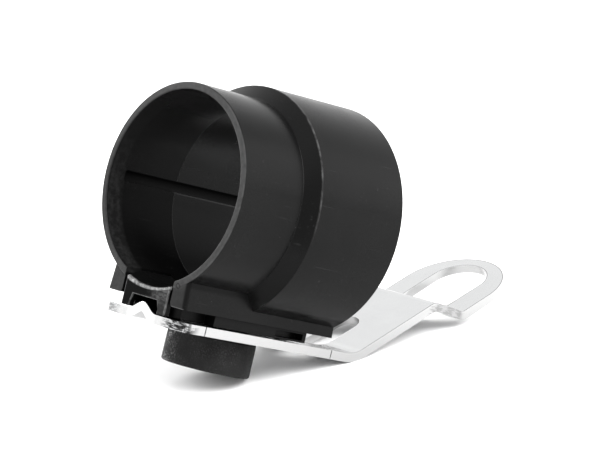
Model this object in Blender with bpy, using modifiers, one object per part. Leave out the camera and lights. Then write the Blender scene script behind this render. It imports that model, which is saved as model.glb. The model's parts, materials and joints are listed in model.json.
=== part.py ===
"""Swivel socket bracket: a moulded stepped socket on a bent steel arm.

The socket turns on a clamp bolt through the flat foot of the arm. A sprung
latch tongue, moulded in the mouth of the socket, straddles a bead pressed into
the arm and holds the socket straight. A round knob under the arm clamps it.

Everything is modelled in the arm's own frame: the origin is the centre of the
socket's mouth, +X is right, +Y runs back along the bore, and +Z is square to
the flat of the arm. The empty "rest_frame" then pitches the whole bracket so
that it stands on the knob's rim and the heel of the arm, with +Z vertical.
"""

import math

import bpy
import bmesh
from mathutils import Matrix, Vector

MM = 0.001
GAP = 0.3 * MM                       # clearance between touching pieces
HOLE_FIT = 0.25 * MM                 # a hole's radius over that of its fastener
OVERLAP = 0.5 * MM                   # how far joined blocks run into each other

# --- Socket -----------------------------------------------------------------
FRONT_R = 25.0 * MM                  # outside radius of the narrow front tube
REAR_R = 28.5 * MM                   # outside radius of the wide rear tube
WALL = 1.8 * MM
FRONT_LENGTH = 19.0 * MM             # mouth to the foot of the shoulder
SHOULDER_LENGTH = 2.8 * MM
SOCKET_LENGTH = 49.8 * MM
LEAD_IN_DEPTH = 4.5 * MM
LEAD_IN_STEP = 0.5 * MM              # the bore narrows by this over the lead-in
BORE_STEP_Y = 21.4 * MM              # where the bore widens inside the shoulder
BORE_STEP_SLOPE = 0.6 * MM
REAR_DRAFT = 0.1 * MM                # the rear tube tapers by this towards the shoulder
GROOVE_WIDTH = 2.8 * MM              # key grooves at three and nine o'clock
GROOVE_DROP = 0.35 * MM              # how far their middle is below the bore's axis
GROOVE_DEPTH = 0.9 * MM
RIM_ROUND = 0.3 * MM

# --- Moulded base under the socket -------------------------------------------
BASE_HALF_BOTTOM = 14.4 * MM
BASE_HALF_TOP = 13.6 * MM
BASE_TOP_Z = -19.0 * MM
BASE_BOTTOM_Z = -27.4 * MM
FLOOR_TOP_Z = -25.9 * MM             # flat seat for the bolt's washer

# --- Latch tongue ------------------------------------------------------------
TONGUE_HALF = 7.8 * MM
TONGUE_SLOT = 1.1 * MM
TONGUE_SLOT_TOP_Z = -19.5 * MM
TONGUE_ROOT_Y = 14.0 * MM
TONGUE_ROOT_GAP = 0.5 * MM           # room for the root to rock as the tongue lifts
TONGUE_CROWN_R = 22.8 * MM           # the tongue's top follows the bore
TONGUE_EDGE_Z = -20.9 * MM           # blank left above the crown, for turning down
TONGUE_UNDER_Z = -24.8 * MM
LATCH_HINGE_Z = -23.95 * MM
TONGUE_FACE = 1.8 * MM               # thickness of the upright front wall
LEG_BOTTOM_Z = -30.0 * MM
CROSSBAR_BOTTOM_Z = -26.9 * MM
ARCH_HALF_TOP = 4.5 * MM
ARCH_HALF_BOTTOM = 5.3 * MM
RIB_LENGTH = 11.0 * MM
RIB_THICK = 1.3 * MM
RIB_BOTTOM_Z = -27.1 * MM
LIP_R = 24.4 * MM                    # funnel ground into the front of the tongue
LIP_DEPTH = 3.8 * MM
LIP_FLARE = 0.4 * MM                  # the funnel's growth ahead of the mouth

# --- Steel arm ---------------------------------------------------------------
ARM_HALF = 14.7 * MM
ARM_THICK = 2.2 * MM
ARM_TOP_Z = -30.3 * MM
HEEL_Y = 58.35 * MM                  # where the flat foot meets the first rise
RISE_ANGLE = math.radians(34.6)
FIRST_RISE = 29.6 * MM
SHELF_ANGLE = math.radians(-5.0)
SHELF_LENGTH = 10.8 * MM
EYE_RUN = 24.3 * MM                  # last bend to the tip of the eye
HEEL_BEND_R = 10.0 * MM
CREST_BEND_R = 3.4 * MM
EYE_BEND_R = 1.6 * MM
BEND_STEPS = 8
FRONT_CORNER_R = 4.0 * MM
EYE_SLOT_R = 8.1 * MM
EYE_SLOT_END = 20.9 * MM             # last bend to the far end of the slot
EYE_SLOT_START = -3.4 * MM
EYE_CUT = (-6.0 * MM, 5.0 * MM)        # cutters reach this far below and above the eye
WINDOW_R = 3.7 * MM
WINDOW_START_Y = 50.6 * MM
WINDOW_END = 14.7 * MM               # measured up the first rise from the heel
BEAD_HALF = 5.0 * MM
BEAD_HEIGHT = 2.15 * MM
BEAD_FLAT = 4.0 * MM                 # full height for this far behind the edge
BEAD_END = 10.0 * MM
BEAD_STEPS = 12
BEAD_ROWS = 10

# --- Pivot stack, downwards through the arm ----------------------------------
PIVOT_Y = 24.0 * MM
SHANK_R = 3.0 * MM
SHANK_FLAT = 2.5 * MM                # half width across the flats of the shank
HEAD_R = 5.8 * MM
HEAD_TOP_Z = -23.3 * MM
HEAD_THICK = 1.5 * MM
HEX_R = 1.75 * MM
HEX_DEPTH = 0.9 * MM
SHANK_END_Z = -39.0 * MM
SHANK_CHAMFER = 0.4 * MM
WASHER_R = 6.0 * MM
WASHER_HOLE_R = 3.3 * MM
HEAD_WASHER_THICK = 0.55 * MM
BUSH_R = 4.5 * MM
POCKET_R = 6.5 * MM                  # room for head and washer in the bore wall
POCKET_TOP_Z = -19.8 * MM
PLATE_HOLE_R = 3.3 * MM
THRUST_WASHER_THICK = 0.9 * MM
SPRING_WASHER_THICK = 1.1 * MM
SPRING_WASHER_R = 5.5 * MM
SPRING_WASHER_SLIT = 0.7 * MM
SLIT_ANGLE = math.radians(20.0)

# --- Glide base between the socket and the arm -------------------------------
GLIDE_HALF = 13.0 * MM
GLIDE_FRONT_Y = 11.5 * MM
GLIDE_REAR_Y = 42.2 * MM
GLIDE_LOBE_HALF = 9.5 * MM
GLIDE_NOTCH_HALF = 5.8 * MM
GLIDE_SWEEP_R = 22.3 * MM            # stays inside the sweep of the latch legs
GLIDE_WINDOW_START_Y = 31.8 * MM
GLIDE_WINDOW_END_Y = 41.0 * MM
GLIDE_WINDOW_DEPTH = 2.6 * MM
GLIDE_WINDOW_LIP = 0.5 * MM
FRICTION_RING_R = 9.0 * MM
FRICTION_RING_THICK = 0.8 * MM
RING_FIT = 0.2 * MM                  # the ring's clearance in its recess
RIVET_X = 8.0 * MM
RIVET_Y = 38.6 * MM
RIVET_R = 1.5 * MM
RIVET_HEAD_R = 2.8 * MM
RIVET_HEAD_THICK = 1.0 * MM

# --- Clamp knob, which is also the front foot --------------------------------
KNOB_R = 10.9 * MM
KNOB_TOP_Z = -32.8 * MM
KNOB_BOTTOM_Z = -41.3 * MM
KNOB_ROUND = 0.5 * MM
KNOB_RECESS_R = 6.5 * MM
KNOB_RECESS_DEPTH = 2.6 * MM
INSERT_R = 4.5 * MM
INSERT_BORE_R = 3.2 * MM
INSERT_LENGTH = 3.9 * MM
PAD_R = 8.8 * MM
PAD_THICK = 1.1 * MM

MERGE = 0.000005                     # points closer than this are one
TUBE_STEPS = 96
SMALL_STEPS = 48
HOLE_STEPS = 24
FLAT_ANGLE = math.radians(0.2)       # faces within this are merged into one

ARM_UNDER_Z = ARM_TOP_Z - ARM_THICK
GLIDE_TOP_Z = BASE_BOTTOM_Z - GAP
GLIDE_BOTTOM_Z = ARM_TOP_Z + GAP
PIVOT = Vector((0.0, PIVOT_Y, 0.0))
LATCH_HINGE = Vector((0.0, TONGUE_ROOT_Y - 0.5 * GAP, LATCH_HINGE_Z))


# --- Scene set-up ------------------------------------------------------------
def clear_scene():
    for old in list(bpy.data.objects):
        bpy.data.objects.remove(old, do_unlink=True)


def new_collection(name):
    group = bpy.data.collections.new(name)
    bpy.context.scene.collection.children.link(group)
    return group


def new_material(name, colour, roughness, metallic):
    made = bpy.data.materials.new(name)
    made.use_nodes = True
    shader = made.node_tree.nodes["Principled BSDF"]
    shader.inputs["Base Color"].default_value = (*colour, 1.0)
    shader.inputs["Roughness"].default_value = roughness
    shader.inputs["Metallic"].default_value = metallic
    return made


def new_empty(name, location, parent=None):
    empty = bpy.data.objects.new(name, None)
    empty.empty_display_size = 0.01
    PARTS.objects.link(empty)
    empty.parent = parent
    empty.location = location - frame_origin(parent)
    return empty


def frame_origin(parent):
    """Where a parent empty sits in the arm's frame."""
    if parent is None:
        return Vector()
    return parent.location + frame_origin(parent.parent)


# --- Mesh makers -------------------------------------------------------------
def object_from(mesh, name, group):
    made = bpy.data.objects.new(name, mesh)
    group.objects.link(made)
    return made


def box_mesh(low, high):
    low, high = Vector(low), Vector(high)
    size = high - low
    shape = bmesh.new()
    place = Matrix.Translation(0.5 * (low + high)) @ Matrix.Diagonal((*size, 1.0))
    bmesh.ops.create_cube(shape, size=1.0, matrix=place)
    mesh = bpy.data.meshes.new("box")
    shape.to_mesh(mesh)
    shape.free()
    return mesh


def cylinder_mesh(radius, low_z, high_z, steps=SMALL_STEPS, x=0.0, y=0.0):
    shape = bmesh.new()
    centre = Matrix.Translation((x, y, 0.5 * (low_z + high_z)))
    bmesh.ops.create_cone(shape, cap_ends=True, segments=steps, radius1=radius,
                          radius2=radius, depth=high_z - low_z, matrix=centre)
    mesh = bpy.data.meshes.new("cylinder")
    shape.to_mesh(mesh)
    shape.free()
    return mesh


def turned_mesh(profile, steps, closed):
    """Turn (radius, height) points about Z with a Screw modifier.

    A closed profile makes a ring. An open one starts and ends on the axis.
    """
    shape = bmesh.new()
    points = [shape.verts.new((radius, 0.0, height)) for radius, height in profile]
    for first, second in zip(points, points[1:]):
        shape.edges.new((first, second))
    if closed:
        shape.edges.new((points[-1], points[0]))
    mesh = bpy.data.meshes.new("profile")
    shape.to_mesh(mesh)
    shape.free()
    blank = object_from(mesh, "turning_blank", CUTTERS)
    screw = blank.modifiers.new("turn", "SCREW")
    screw.axis = "Z"
    screw.steps = steps
    screw.render_steps = steps
    screw.use_merge_vertices = True
    screw.merge_threshold = MERGE
    screw.use_smooth_shade = False
    return settle(blank)


def settle(source):
    """The evaluated mesh of a blank, which is removed."""
    bpy.context.view_layer.update()
    graph = bpy.context.evaluated_depsgraph_get()
    mesh = bpy.data.meshes.new_from_object(source.evaluated_get(graph))
    bpy.data.objects.remove(source, do_unlink=True)
    shape = bmesh.new()
    shape.from_mesh(mesh)
    bmesh.ops.remove_doubles(shape, verts=shape.verts, dist=MERGE)
    shape.to_mesh(mesh)
    shape.free()
    return mesh


def prism_mesh(outline, low, high):
    """A flat outline in XY, filled and carried from low to high along Z."""
    curve = bpy.data.curves.new("outline", "CURVE")
    curve.dimensions = "2D"
    curve.fill_mode = "BOTH"
    curve.extrude = 0.5 * (high - low)
    spline = curve.splines.new("POLY")
    spline.points.add(len(outline) - 1)
    for point, (x, y) in zip(spline.points, outline):
        point.co = (x, y, 0.0, 1.0)
    spline.use_cyclic_u = True
    mesh = settle(object_from(curve, "outline_blank", CUTTERS))
    mesh.transform(Matrix.Translation((0.0, 0.0, 0.5 * (low + high))))
    return mesh


def face_along_y(mesh):
    """Stand an XY outline up, so that its depth runs along Y and its Y is Z."""
    mesh.transform(Matrix.Rotation(math.radians(90.0), 4, "X"))
    mesh.transform(Matrix.Scale(-1.0, 4, (0.0, 1.0, 0.0)))
    mesh.flip_normals()
    return mesh


def arc(centre_x, centre_y, radius, start, end, steps):
    """Points on an arc, angles in degrees."""
    for step in range(steps + 1):
        angle = math.radians(start + (end - start) * step / steps)
        yield centre_x + radius * math.cos(angle), centre_y + radius * math.sin(angle)


def slot_outline(radius, start_y, end_y, steps=14):
    """A slot along Y with round ends, tip to tip from start_y to end_y."""
    far = arc(0.0, end_y - radius, radius, 0.0, 180.0, steps)
    near = arc(0.0, start_y + radius, radius, 180.0, 360.0, steps)
    return [*far, *near]


def carved(mesh, tool):
    """A mesh less a tool, for a cutter that is itself cut to shape."""
    blank = object_from(mesh, "carving_blank", CUTTERS)
    knife = object_from(tool, "carving_tool", CUTTERS)
    cut = blank.modifiers.new("cut", "BOOLEAN")
    cut.solver = "EXACT"
    cut.object = knife
    result = settle(blank)
    bpy.data.objects.remove(knife, do_unlink=True)
    return result


def about_y(mesh):
    """Turn a shape made about Z so that its axis lies along +Y."""
    mesh.transform(Matrix.Rotation(math.radians(-90.0), 4, "X"))
    return mesh


# --- Objects -----------------------------------------------------------------
def add_part(name, mesh, material, parent, location=Vector(), smooth=40.0):
    """A named piece. Its location is given in the arm's frame."""
    part = object_from(mesh, name, PARTS)
    mesh.materials.clear()
    mesh.materials.append(material)
    mesh.shade_smooth()
    mesh.set_sharp_from_angle(angle=math.radians(smooth))
    part.parent = parent
    part.location = location - frame_origin(parent)
    return part


def add_cutter(part, mesh, operation="DIFFERENCE"):
    """Cut or join a part with a hidden helper, which is placed as the part is."""
    helper = object_from(mesh, f"{part.name}_helper", CUTTERS)
    helper.display_type = "WIRE"
    helper.hide_render = True
    helper.parent = part
    change = part.modifiers.new(operation.lower(), "BOOLEAN")
    change.operation = operation
    change.solver = "EXACT"
    change.object = helper
    return helper


def shift(mesh, offset):
    mesh.transform(Matrix.Translation(offset))
    return mesh


# --- Socket ------------------------------------------------------------------
def socket_outside():
    shoulder_end = FRONT_LENGTH + SHOULDER_LENGTH
    profile = [
        (0.0, SOCKET_LENGTH),
        (REAR_R - RIM_ROUND, SOCKET_LENGTH),
        (REAR_R, SOCKET_LENGTH - RIM_ROUND),
        (REAR_R - REAR_DRAFT, shoulder_end),
        (FRONT_R, FRONT_LENGTH),
        (FRONT_R, RIM_ROUND),
        (FRONT_R - RIM_ROUND, 0.0),
        (0.0, 0.0),
    ]
    return about_y(turned_mesh(profile, TUBE_STEPS, closed=False))


def socket_bore():
    """The stepped bore, with a flat floor where it is wide."""
    mouth = FRONT_R - WALL
    narrow = mouth - LEAD_IN_STEP
    wide = REAR_R - WALL
    profile = [
        (0.0, SOCKET_LENGTH + MM),
        (wide, SOCKET_LENGTH + MM),
        (wide, BORE_STEP_Y + BORE_STEP_SLOPE),
        (narrow, BORE_STEP_Y),
        (narrow, LEAD_IN_DEPTH),
        (mouth, RIM_ROUND),
        (mouth + RIM_ROUND, 0.0),
        (mouth + RIM_ROUND, -MM),
        (0.0, -MM),
    ]
    bore = about_y(turned_mesh(profile, TUBE_STEPS, closed=False))
    floor = box_mesh((-REAR_R, BORE_STEP_Y - MM, -REAR_R - MM),
                     (REAR_R, SOCKET_LENGTH + 2.0 * MM, FLOOR_TOP_Z))
    return carved(bore, floor)


def socket_base():
    """The block under the tubes, left 1 mm deep for trimming."""
    outline = [
        (-BASE_HALF_BOTTOM, BASE_BOTTOM_Z - MM),
        (BASE_HALF_BOTTOM, BASE_BOTTOM_Z - MM),
        (BASE_HALF_TOP, BASE_TOP_Z),
        (-BASE_HALF_TOP, BASE_TOP_Z),
    ]
    return face_along_y(prism_mesh(outline, 0.0, SOCKET_LENGTH))


def groove_boxes():
    """The key grooves: one box for each side of each bore diameter."""
    narrow = FRONT_R - WALL - LEAD_IN_STEP
    wide = REAR_R - WALL
    low, high = -GROOVE_DROP - 0.5 * GROOVE_WIDTH, -GROOVE_DROP + 0.5 * GROOVE_WIDTH
    runs = (
        (narrow, LEAD_IN_DEPTH, BORE_STEP_Y + 0.5 * BORE_STEP_SLOPE),
        (wide, BORE_STEP_Y, SOCKET_LENGTH + MM),
    )
    for radius, start, end in runs:
        for side in (-1.0, 1.0):
            inner = side * (radius - 2.0 * GROOVE_DEPTH)
            outer = side * (radius + GROOVE_DEPTH)
            yield box_mesh((min(inner, outer), start, low), (max(inner, outer), end, high))


def make_socket(parent):
    back = -PIVOT
    socket = add_part("socket_body", shift(socket_outside(), back), PLASTIC, parent, PIVOT, 30.0)
    add_cutter(socket, shift(socket_base(), back), "UNION")
    below = box_mesh((-REAR_R, -MM, -REAR_R - MM), (REAR_R, SOCKET_LENGTH + MM, BASE_BOTTOM_Z))
    add_cutter(socket, shift(below, back))
    add_cutter(socket, shift(socket_bore(), back))
    slot_half = TONGUE_HALF + TONGUE_SLOT
    opening = box_mesh((-slot_half, -MM, BASE_BOTTOM_Z - MM),
                       (slot_half, TONGUE_ROOT_Y, TONGUE_SLOT_TOP_Z))
    add_cutter(socket, shift(opening, back))
    add_cutter(socket, cylinder_mesh(POCKET_R, FLOOR_TOP_Z, POCKET_TOP_Z))
    add_cutter(socket, cylinder_mesh(BUSH_R + GAP, BASE_BOTTOM_Z - MM, FLOOR_TOP_Z + MM))
    for groove in groove_boxes():
        add_cutter(socket, shift(groove, back))
    return socket


# --- Latch -------------------------------------------------------------------
def make_latch(parent):
    """The tongue's origin is on its hinge, so its meshes are shifted to it."""
    back = -LATCH_HINGE
    root_y = TONGUE_ROOT_Y - TONGUE_ROOT_GAP
    blade = box_mesh((-TONGUE_HALF, 0.0, TONGUE_UNDER_Z), (TONGUE_HALF, root_y, TONGUE_EDGE_Z))
    latch = add_part("latch_tongue", shift(blade, back), PLASTIC, parent, LATCH_HINGE, 30.0)
    joined_z = TONGUE_UNDER_Z + OVERLAP
    wall = box_mesh((-TONGUE_HALF, 0.0, LEG_BOTTOM_Z), (TONGUE_HALF, TONGUE_FACE, joined_z))
    add_cutter(latch, shift(wall, back), "UNION")
    for side in (-1.0, 1.0):
        outer = side * TONGUE_HALF
        inner = side * (TONGUE_HALF - RIB_THICK)
        rib = box_mesh((min(outer, inner), 0.5 * TONGUE_FACE, RIB_BOTTOM_Z),
                       (max(outer, inner), RIB_LENGTH, joined_z))
        add_cutter(latch, shift(rib, back), "UNION")
    arch = [
        (-ARCH_HALF_BOTTOM, LEG_BOTTOM_Z - MM),
        (ARCH_HALF_BOTTOM, LEG_BOTTOM_Z - MM),
        (ARCH_HALF_BOTTOM, LEG_BOTTOM_Z + MM),
        (ARCH_HALF_TOP, CROSSBAR_BOTTOM_Z),
        (-ARCH_HALF_TOP, CROSSBAR_BOTTOM_Z),
        (-ARCH_HALF_BOTTOM, LEG_BOTTOM_Z + MM),
    ]
    opening = face_along_y(prism_mesh(arch, -MM, TONGUE_FACE + MM))
    add_cutter(latch, shift(opening, back))
    funnel = [
        (0.0, TONGUE_ROOT_Y),
        (TONGUE_CROWN_R, TONGUE_ROOT_Y),
        (TONGUE_CROWN_R, LIP_DEPTH),
        (LIP_R, 0.0),
        (LIP_R + LIP_FLARE, -MM),
        (0.0, -MM),
    ]
    add_cutter(latch, shift(about_y(turned_mesh(funnel, TUBE_STEPS, closed=False)), back))
    return latch


# --- Steel arm ---------------------------------------------------------------
def arm_corners():
    """The corners of the arm's top line in the YZ plane, with bend radii."""
    heel = Vector((HEEL_Y, ARM_TOP_Z))
    crest = heel + FIRST_RISE * Vector((math.cos(RISE_ANGLE), math.sin(RISE_ANGLE)))
    knee = crest + SHELF_LENGTH * Vector((math.cos(SHELF_ANGLE), math.sin(SHELF_ANGLE)))
    tip = knee + EYE_RUN * Vector((math.cos(RISE_ANGLE), math.sin(RISE_ANGLE)))
    return heel, crest, knee, tip


def bend_points(before, corner, after, radius):
    """Replace a corner by an arc tangent to both of its sides."""
    towards = (before - corner).normalized()
    away = (after - corner).normalized()
    half = 0.5 * towards.angle(away)
    centre = corner + (towards + away).normalized() * radius / math.sin(half)
    start = corner + towards * radius / math.tan(half) - centre
    end = corner + away * radius / math.tan(half) - centre
    sweep = start.angle_signed(end)
    for step in range(BEND_STEPS + 1):
        turn = Matrix.Rotation(-sweep * step / BEND_STEPS, 2)
        yield centre + turn @ start


def arm_line():
    """Top line of the arm from its front edge to past the tip of the eye."""
    heel, crest, knee, tip = arm_corners()
    rows = [Vector((BEAD_END * step / BEAD_ROWS, ARM_TOP_Z)) for step in range(BEAD_ROWS + 1)]
    rows += bend_points(Vector((0.0, ARM_TOP_Z)), heel, crest, HEEL_BEND_R)
    rows += bend_points(heel, crest, knee, CREST_BEND_R)
    rows += bend_points(crest, knee, tip, EYE_BEND_R)
    rows.append(tip)
    return rows


def bead_rise(x, y):
    """Height of the pressed bead above the flat of the arm."""
    if abs(x) >= BEAD_HALF or y >= BEAD_END:
        return 0.0
    across = math.cos(0.5 * math.pi * x / BEAD_HALF) ** 2
    fade = min(1.0, (BEAD_END - y) / (BEAD_END - BEAD_FLAT))
    return BEAD_HEIGHT * across * math.sin(0.5 * math.pi * fade) ** 2


def arm_sheet():
    """The arm's top face as an open sheet, to be thickened downwards."""
    inner = [BEAD_HALF * (2.0 * step / BEAD_STEPS - 1.0) for step in range(BEAD_STEPS + 1)]
    columns = [-ARM_HALF, *inner, ARM_HALF]
    shape = bmesh.new()
    grid = [[shape.verts.new((x, row.x, row.y + bead_rise(x, row.x))) for x in columns]
            for row in arm_line()]
    for front, behind in zip(grid, grid[1:]):
        for left in range(len(columns) - 1):
            shape.faces.new((front[left], front[left + 1], behind[left + 1], behind[left]))
    bmesh.ops.dissolve_limit(shape, angle_limit=FLAT_ANGLE, verts=shape.verts, edges=shape.edges)
    mesh = bpy.data.meshes.new("arm_sheet")
    shape.to_mesh(mesh)
    shape.free()
    return mesh


def tilted(mesh, corner, angle):
    """Lay a shape made on the XY plane onto a rising stretch of the arm."""
    mesh.transform(Matrix.Rotation(angle, 4, "X"))
    return shift(mesh, Vector((0.0, corner.x, corner.y)))


def corner_cutter(side):
    """What is outside a rounded front corner of the arm."""
    inner = ARM_HALF - FRONT_CORNER_R
    outline = [(side * (ARM_HALF + MM), -MM), (side * inner, -MM)]
    for x, y in arc(inner, FRONT_CORNER_R, FRONT_CORNER_R, -90.0, 0.0, 8):
        outline.append((side * x, y))
    outline.append((side * (ARM_HALF + MM), FRONT_CORNER_R))
    return prism_mesh(outline, ARM_UNDER_Z - 2 * MM, ARM_TOP_Z + 2 * MM)


def eye_trim():
    """What is outside the round tip of the eye."""
    centre = EYE_RUN - ARM_HALF
    reach = EYE_RUN + 2.0 * MM
    outline = list(arc(0.0, centre, ARM_HALF, 180.0, 0.0, 32))
    outline += [(ARM_HALF + MM, centre), (ARM_HALF + MM, reach),
                (-ARM_HALF - MM, reach), (-ARM_HALF - MM, centre)]
    return prism_mesh(outline, *EYE_CUT)


def make_arm(parent):
    heel, _, knee, _ = arm_corners()
    arm = add_part("arm_plate", arm_sheet(), STEEL, parent, Vector(), 25.0)
    thicken = arm.modifiers.new("thickness", "SOLIDIFY")
    thicken.thickness = ARM_THICK
    thicken.offset = -1.0
    thicken.use_even_offset = True
    for side in (-1.0, 1.0):
        add_cutter(arm, corner_cutter(side))
    add_cutter(arm, tilted(eye_trim(), knee, RISE_ANGLE))
    eye_slot = slot_outline(EYE_SLOT_R, EYE_SLOT_START, EYE_SLOT_END)
    add_cutter(arm, tilted(prism_mesh(eye_slot, *EYE_CUT), knee, RISE_ANGLE))
    flat_end = slot_outline(WINDOW_R, WINDOW_START_Y, HEEL_Y + WINDOW_R)
    add_cutter(arm, prism_mesh(flat_end, ARM_UNDER_Z - ARM_THICK, ARM_TOP_Z + 2.0 * ARM_THICK))
    rising_end = slot_outline(WINDOW_R, -WINDOW_R, WINDOW_END)
    add_cutter(arm, tilted(prism_mesh(rising_end, -2.0 * ARM_THICK, ARM_THICK), heel, RISE_ANGLE))
    add_cutter(arm, double_d_mesh(PLATE_HOLE_R, SHANK_FLAT + HOLE_FIT,
                                  ARM_UNDER_Z - 2 * MM, ARM_TOP_Z + 2 * MM, PIVOT_Y))
    for side in (-1.0, 1.0):
        hole = cylinder_mesh(RIVET_R + HOLE_FIT, ARM_UNDER_Z - MM, ARM_TOP_Z + MM, HOLE_STEPS,
                             side * RIVET_X, RIVET_Y)
        add_cutter(arm, hole)
    return arm


def double_d_outline(radius, flat, steps=10):
    """A circle with two flats, which stop a bolt from turning."""
    reach = math.degrees(math.acos(flat / radius))
    back = arc(0.0, 0.0, radius, reach, 180.0 - reach, steps)
    front = arc(0.0, 0.0, radius, 180.0 + reach, 360.0 - reach, steps)
    return [*back, *front]


def double_d_mesh(radius, flat, low, high, y):
    return shift(prism_mesh(double_d_outline(radius, flat), low, high), Vector((0.0, y, 0.0)))


# --- Glide base and rivets ---------------------------------------------------
def make_glide_base(parent):
    body = box_mesh((-GLIDE_HALF, GLIDE_FRONT_Y, GLIDE_BOTTOM_Z),
                    (GLIDE_HALF, GLIDE_REAR_Y, GLIDE_TOP_Z))
    glide = add_part("glide_base", body, PLASTIC_DARK, parent, Vector(), 30.0)
    lobe = box_mesh((-GLIDE_LOBE_HALF, 0.0, GLIDE_BOTTOM_Z),
                    (GLIDE_LOBE_HALF, GLIDE_FRONT_Y + MM, GLIDE_TOP_Z))
    add_cutter(glide, lobe, "UNION")
    sweep = cylinder_mesh(GLIDE_SWEEP_R, GLIDE_BOTTOM_Z - MM, GLIDE_TOP_Z + MM, TUBE_STEPS, y=PIVOT_Y)
    add_cutter(glide, sweep, "INTERSECT")
    notch = box_mesh((-GLIDE_NOTCH_HALF, -MM, GLIDE_BOTTOM_Z - MM),
                     (GLIDE_NOTCH_HALF, BEAD_END + OVERLAP, GLIDE_TOP_Z + MM))
    add_cutter(glide, notch)
    for side in (-1.0, 1.0):
        inner = side * (GLIDE_HALF - GLIDE_WINDOW_DEPTH)
        outer = side * (GLIDE_HALF + MM)
        window = box_mesh(
            (min(inner, outer), GLIDE_WINDOW_START_Y, GLIDE_BOTTOM_Z + GLIDE_WINDOW_LIP),
            (max(inner, outer), GLIDE_WINDOW_END_Y, GLIDE_TOP_Z - GLIDE_WINDOW_LIP))
        add_cutter(glide, window)
        hole = cylinder_mesh(RIVET_R + HOLE_FIT, GLIDE_BOTTOM_Z - MM, GLIDE_TOP_Z + MM, HOLE_STEPS,
                             side * RIVET_X, RIVET_Y)
        add_cutter(glide, hole)
    add_cutter(glide, cylinder_mesh(BUSH_R + GAP, GLIDE_BOTTOM_Z - MM, GLIDE_TOP_Z + MM, y=PIVOT_Y))
    recess = cylinder_mesh(FRICTION_RING_R + RING_FIT, GLIDE_TOP_Z - FRICTION_RING_THICK,
                           GLIDE_TOP_Z + MM, y=PIVOT_Y)
    add_cutter(glide, recess)
    return glide


def make_rivets(parent):
    """Each rivet has a domed head below the arm and a shank up into the base."""
    head_top = ARM_UNDER_Z - GAP
    shank_top = GLIDE_TOP_Z - HOLE_FIT
    profile = [
        (0.0, shank_top),
        (RIVET_R, shank_top),
        (RIVET_R, head_top),
        (RIVET_HEAD_R, head_top),
        (0.75 * RIVET_HEAD_R, head_top - 0.7 * RIVET_HEAD_THICK),
        (0.0, head_top - RIVET_HEAD_THICK),
    ]
    mesh = turned_mesh(profile, HOLE_STEPS, closed=False)
    for side, x in (("left", -RIVET_X), ("right", RIVET_X)):
        add_part(f"rivet_{side}", mesh, STEEL, parent, Vector((x, RIVET_Y, 0.0)))


# --- Pivot stack -------------------------------------------------------------
def ring_mesh(outer, inner, low, high, steps=SMALL_STEPS):
    return turned_mesh([(outer, high), (outer, low), (inner, low), (inner, high)], steps, closed=True)


def make_bolt(parent):
    seat = HEAD_TOP_Z - HEAD_THICK
    profile = [
        (0.0, HEAD_TOP_Z),
        (0.62 * HEAD_R, HEAD_TOP_Z),
        (0.88 * HEAD_R, HEAD_TOP_Z - 0.35 * HEAD_THICK),
        (HEAD_R, seat + 0.25 * HEAD_THICK),
        (HEAD_R, seat),
        (SHANK_R, seat),
        (SHANK_R, SHANK_END_Z + SHANK_CHAMFER),
        (SHANK_R - SHANK_CHAMFER, SHANK_END_Z),
        (0.0, SHANK_END_Z),
    ]
    bolt = add_part("pivot_bolt", turned_mesh(profile, SMALL_STEPS, closed=False), STEEL, parent, PIVOT)
    add_cutter(bolt, cylinder_mesh(HEX_R, HEAD_TOP_Z - HEX_DEPTH, HEAD_TOP_Z + MM, 6))
    for side in (-1.0, 1.0):
        near = side * SHANK_FLAT
        far = side * (SHANK_R + MM)
        flat = box_mesh((min(near, far), -SHANK_R - MM, SHANK_END_Z - MM),
                        (max(near, far), SHANK_R + MM, ARM_TOP_Z + GAP))
        add_cutter(bolt, flat)
    return bolt


def make_knob(parent):
    half = KNOB_ROUND * (1.0 - math.sqrt(0.5))
    recess_z = KNOB_TOP_Z - KNOB_RECESS_DEPTH
    insert_hole = INSERT_R + GAP
    pad_hole = PAD_R + GAP
    pad_top = KNOB_BOTTOM_Z + PAD_THICK + GAP
    profile = [
        (KNOB_R - KNOB_ROUND, KNOB_TOP_Z),
        (KNOB_R - half, KNOB_TOP_Z - half),
        (KNOB_R, KNOB_TOP_Z - KNOB_ROUND),
        (KNOB_R, KNOB_BOTTOM_Z + KNOB_ROUND),
        (KNOB_R - half, KNOB_BOTTOM_Z + half),
        (KNOB_R - KNOB_ROUND, KNOB_BOTTOM_Z),
        (pad_hole, KNOB_BOTTOM_Z),
        (pad_hole, pad_top),
        (insert_hole, pad_top),
        (insert_hole, recess_z),
        (KNOB_RECESS_R, recess_z),
        (KNOB_RECESS_R, KNOB_TOP_Z),
    ]
    return add_part("knob_body", turned_mesh(profile, 64, closed=True), RUBBER, parent, PIVOT)


def make_spring_washer(parent):
    top = ARM_UNDER_Z - THRUST_WASHER_THICK - 2.0 * GAP
    low = top - SPRING_WASHER_THICK
    ring = ring_mesh(SPRING_WASHER_R, WASHER_HOLE_R, low, top)
    washer = add_part("spring_washer", ring, STEEL, parent, PIVOT)
    slit = box_mesh((0.0, -0.5 * SPRING_WASHER_SLIT, low - MM),
                    (SPRING_WASHER_R + MM, 0.5 * SPRING_WASHER_SLIT, top + MM))
    slit.transform(Matrix.Rotation(SLIT_ANGLE, 4, "Z"))
    add_cutter(washer, slit)
    return washer


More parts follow.
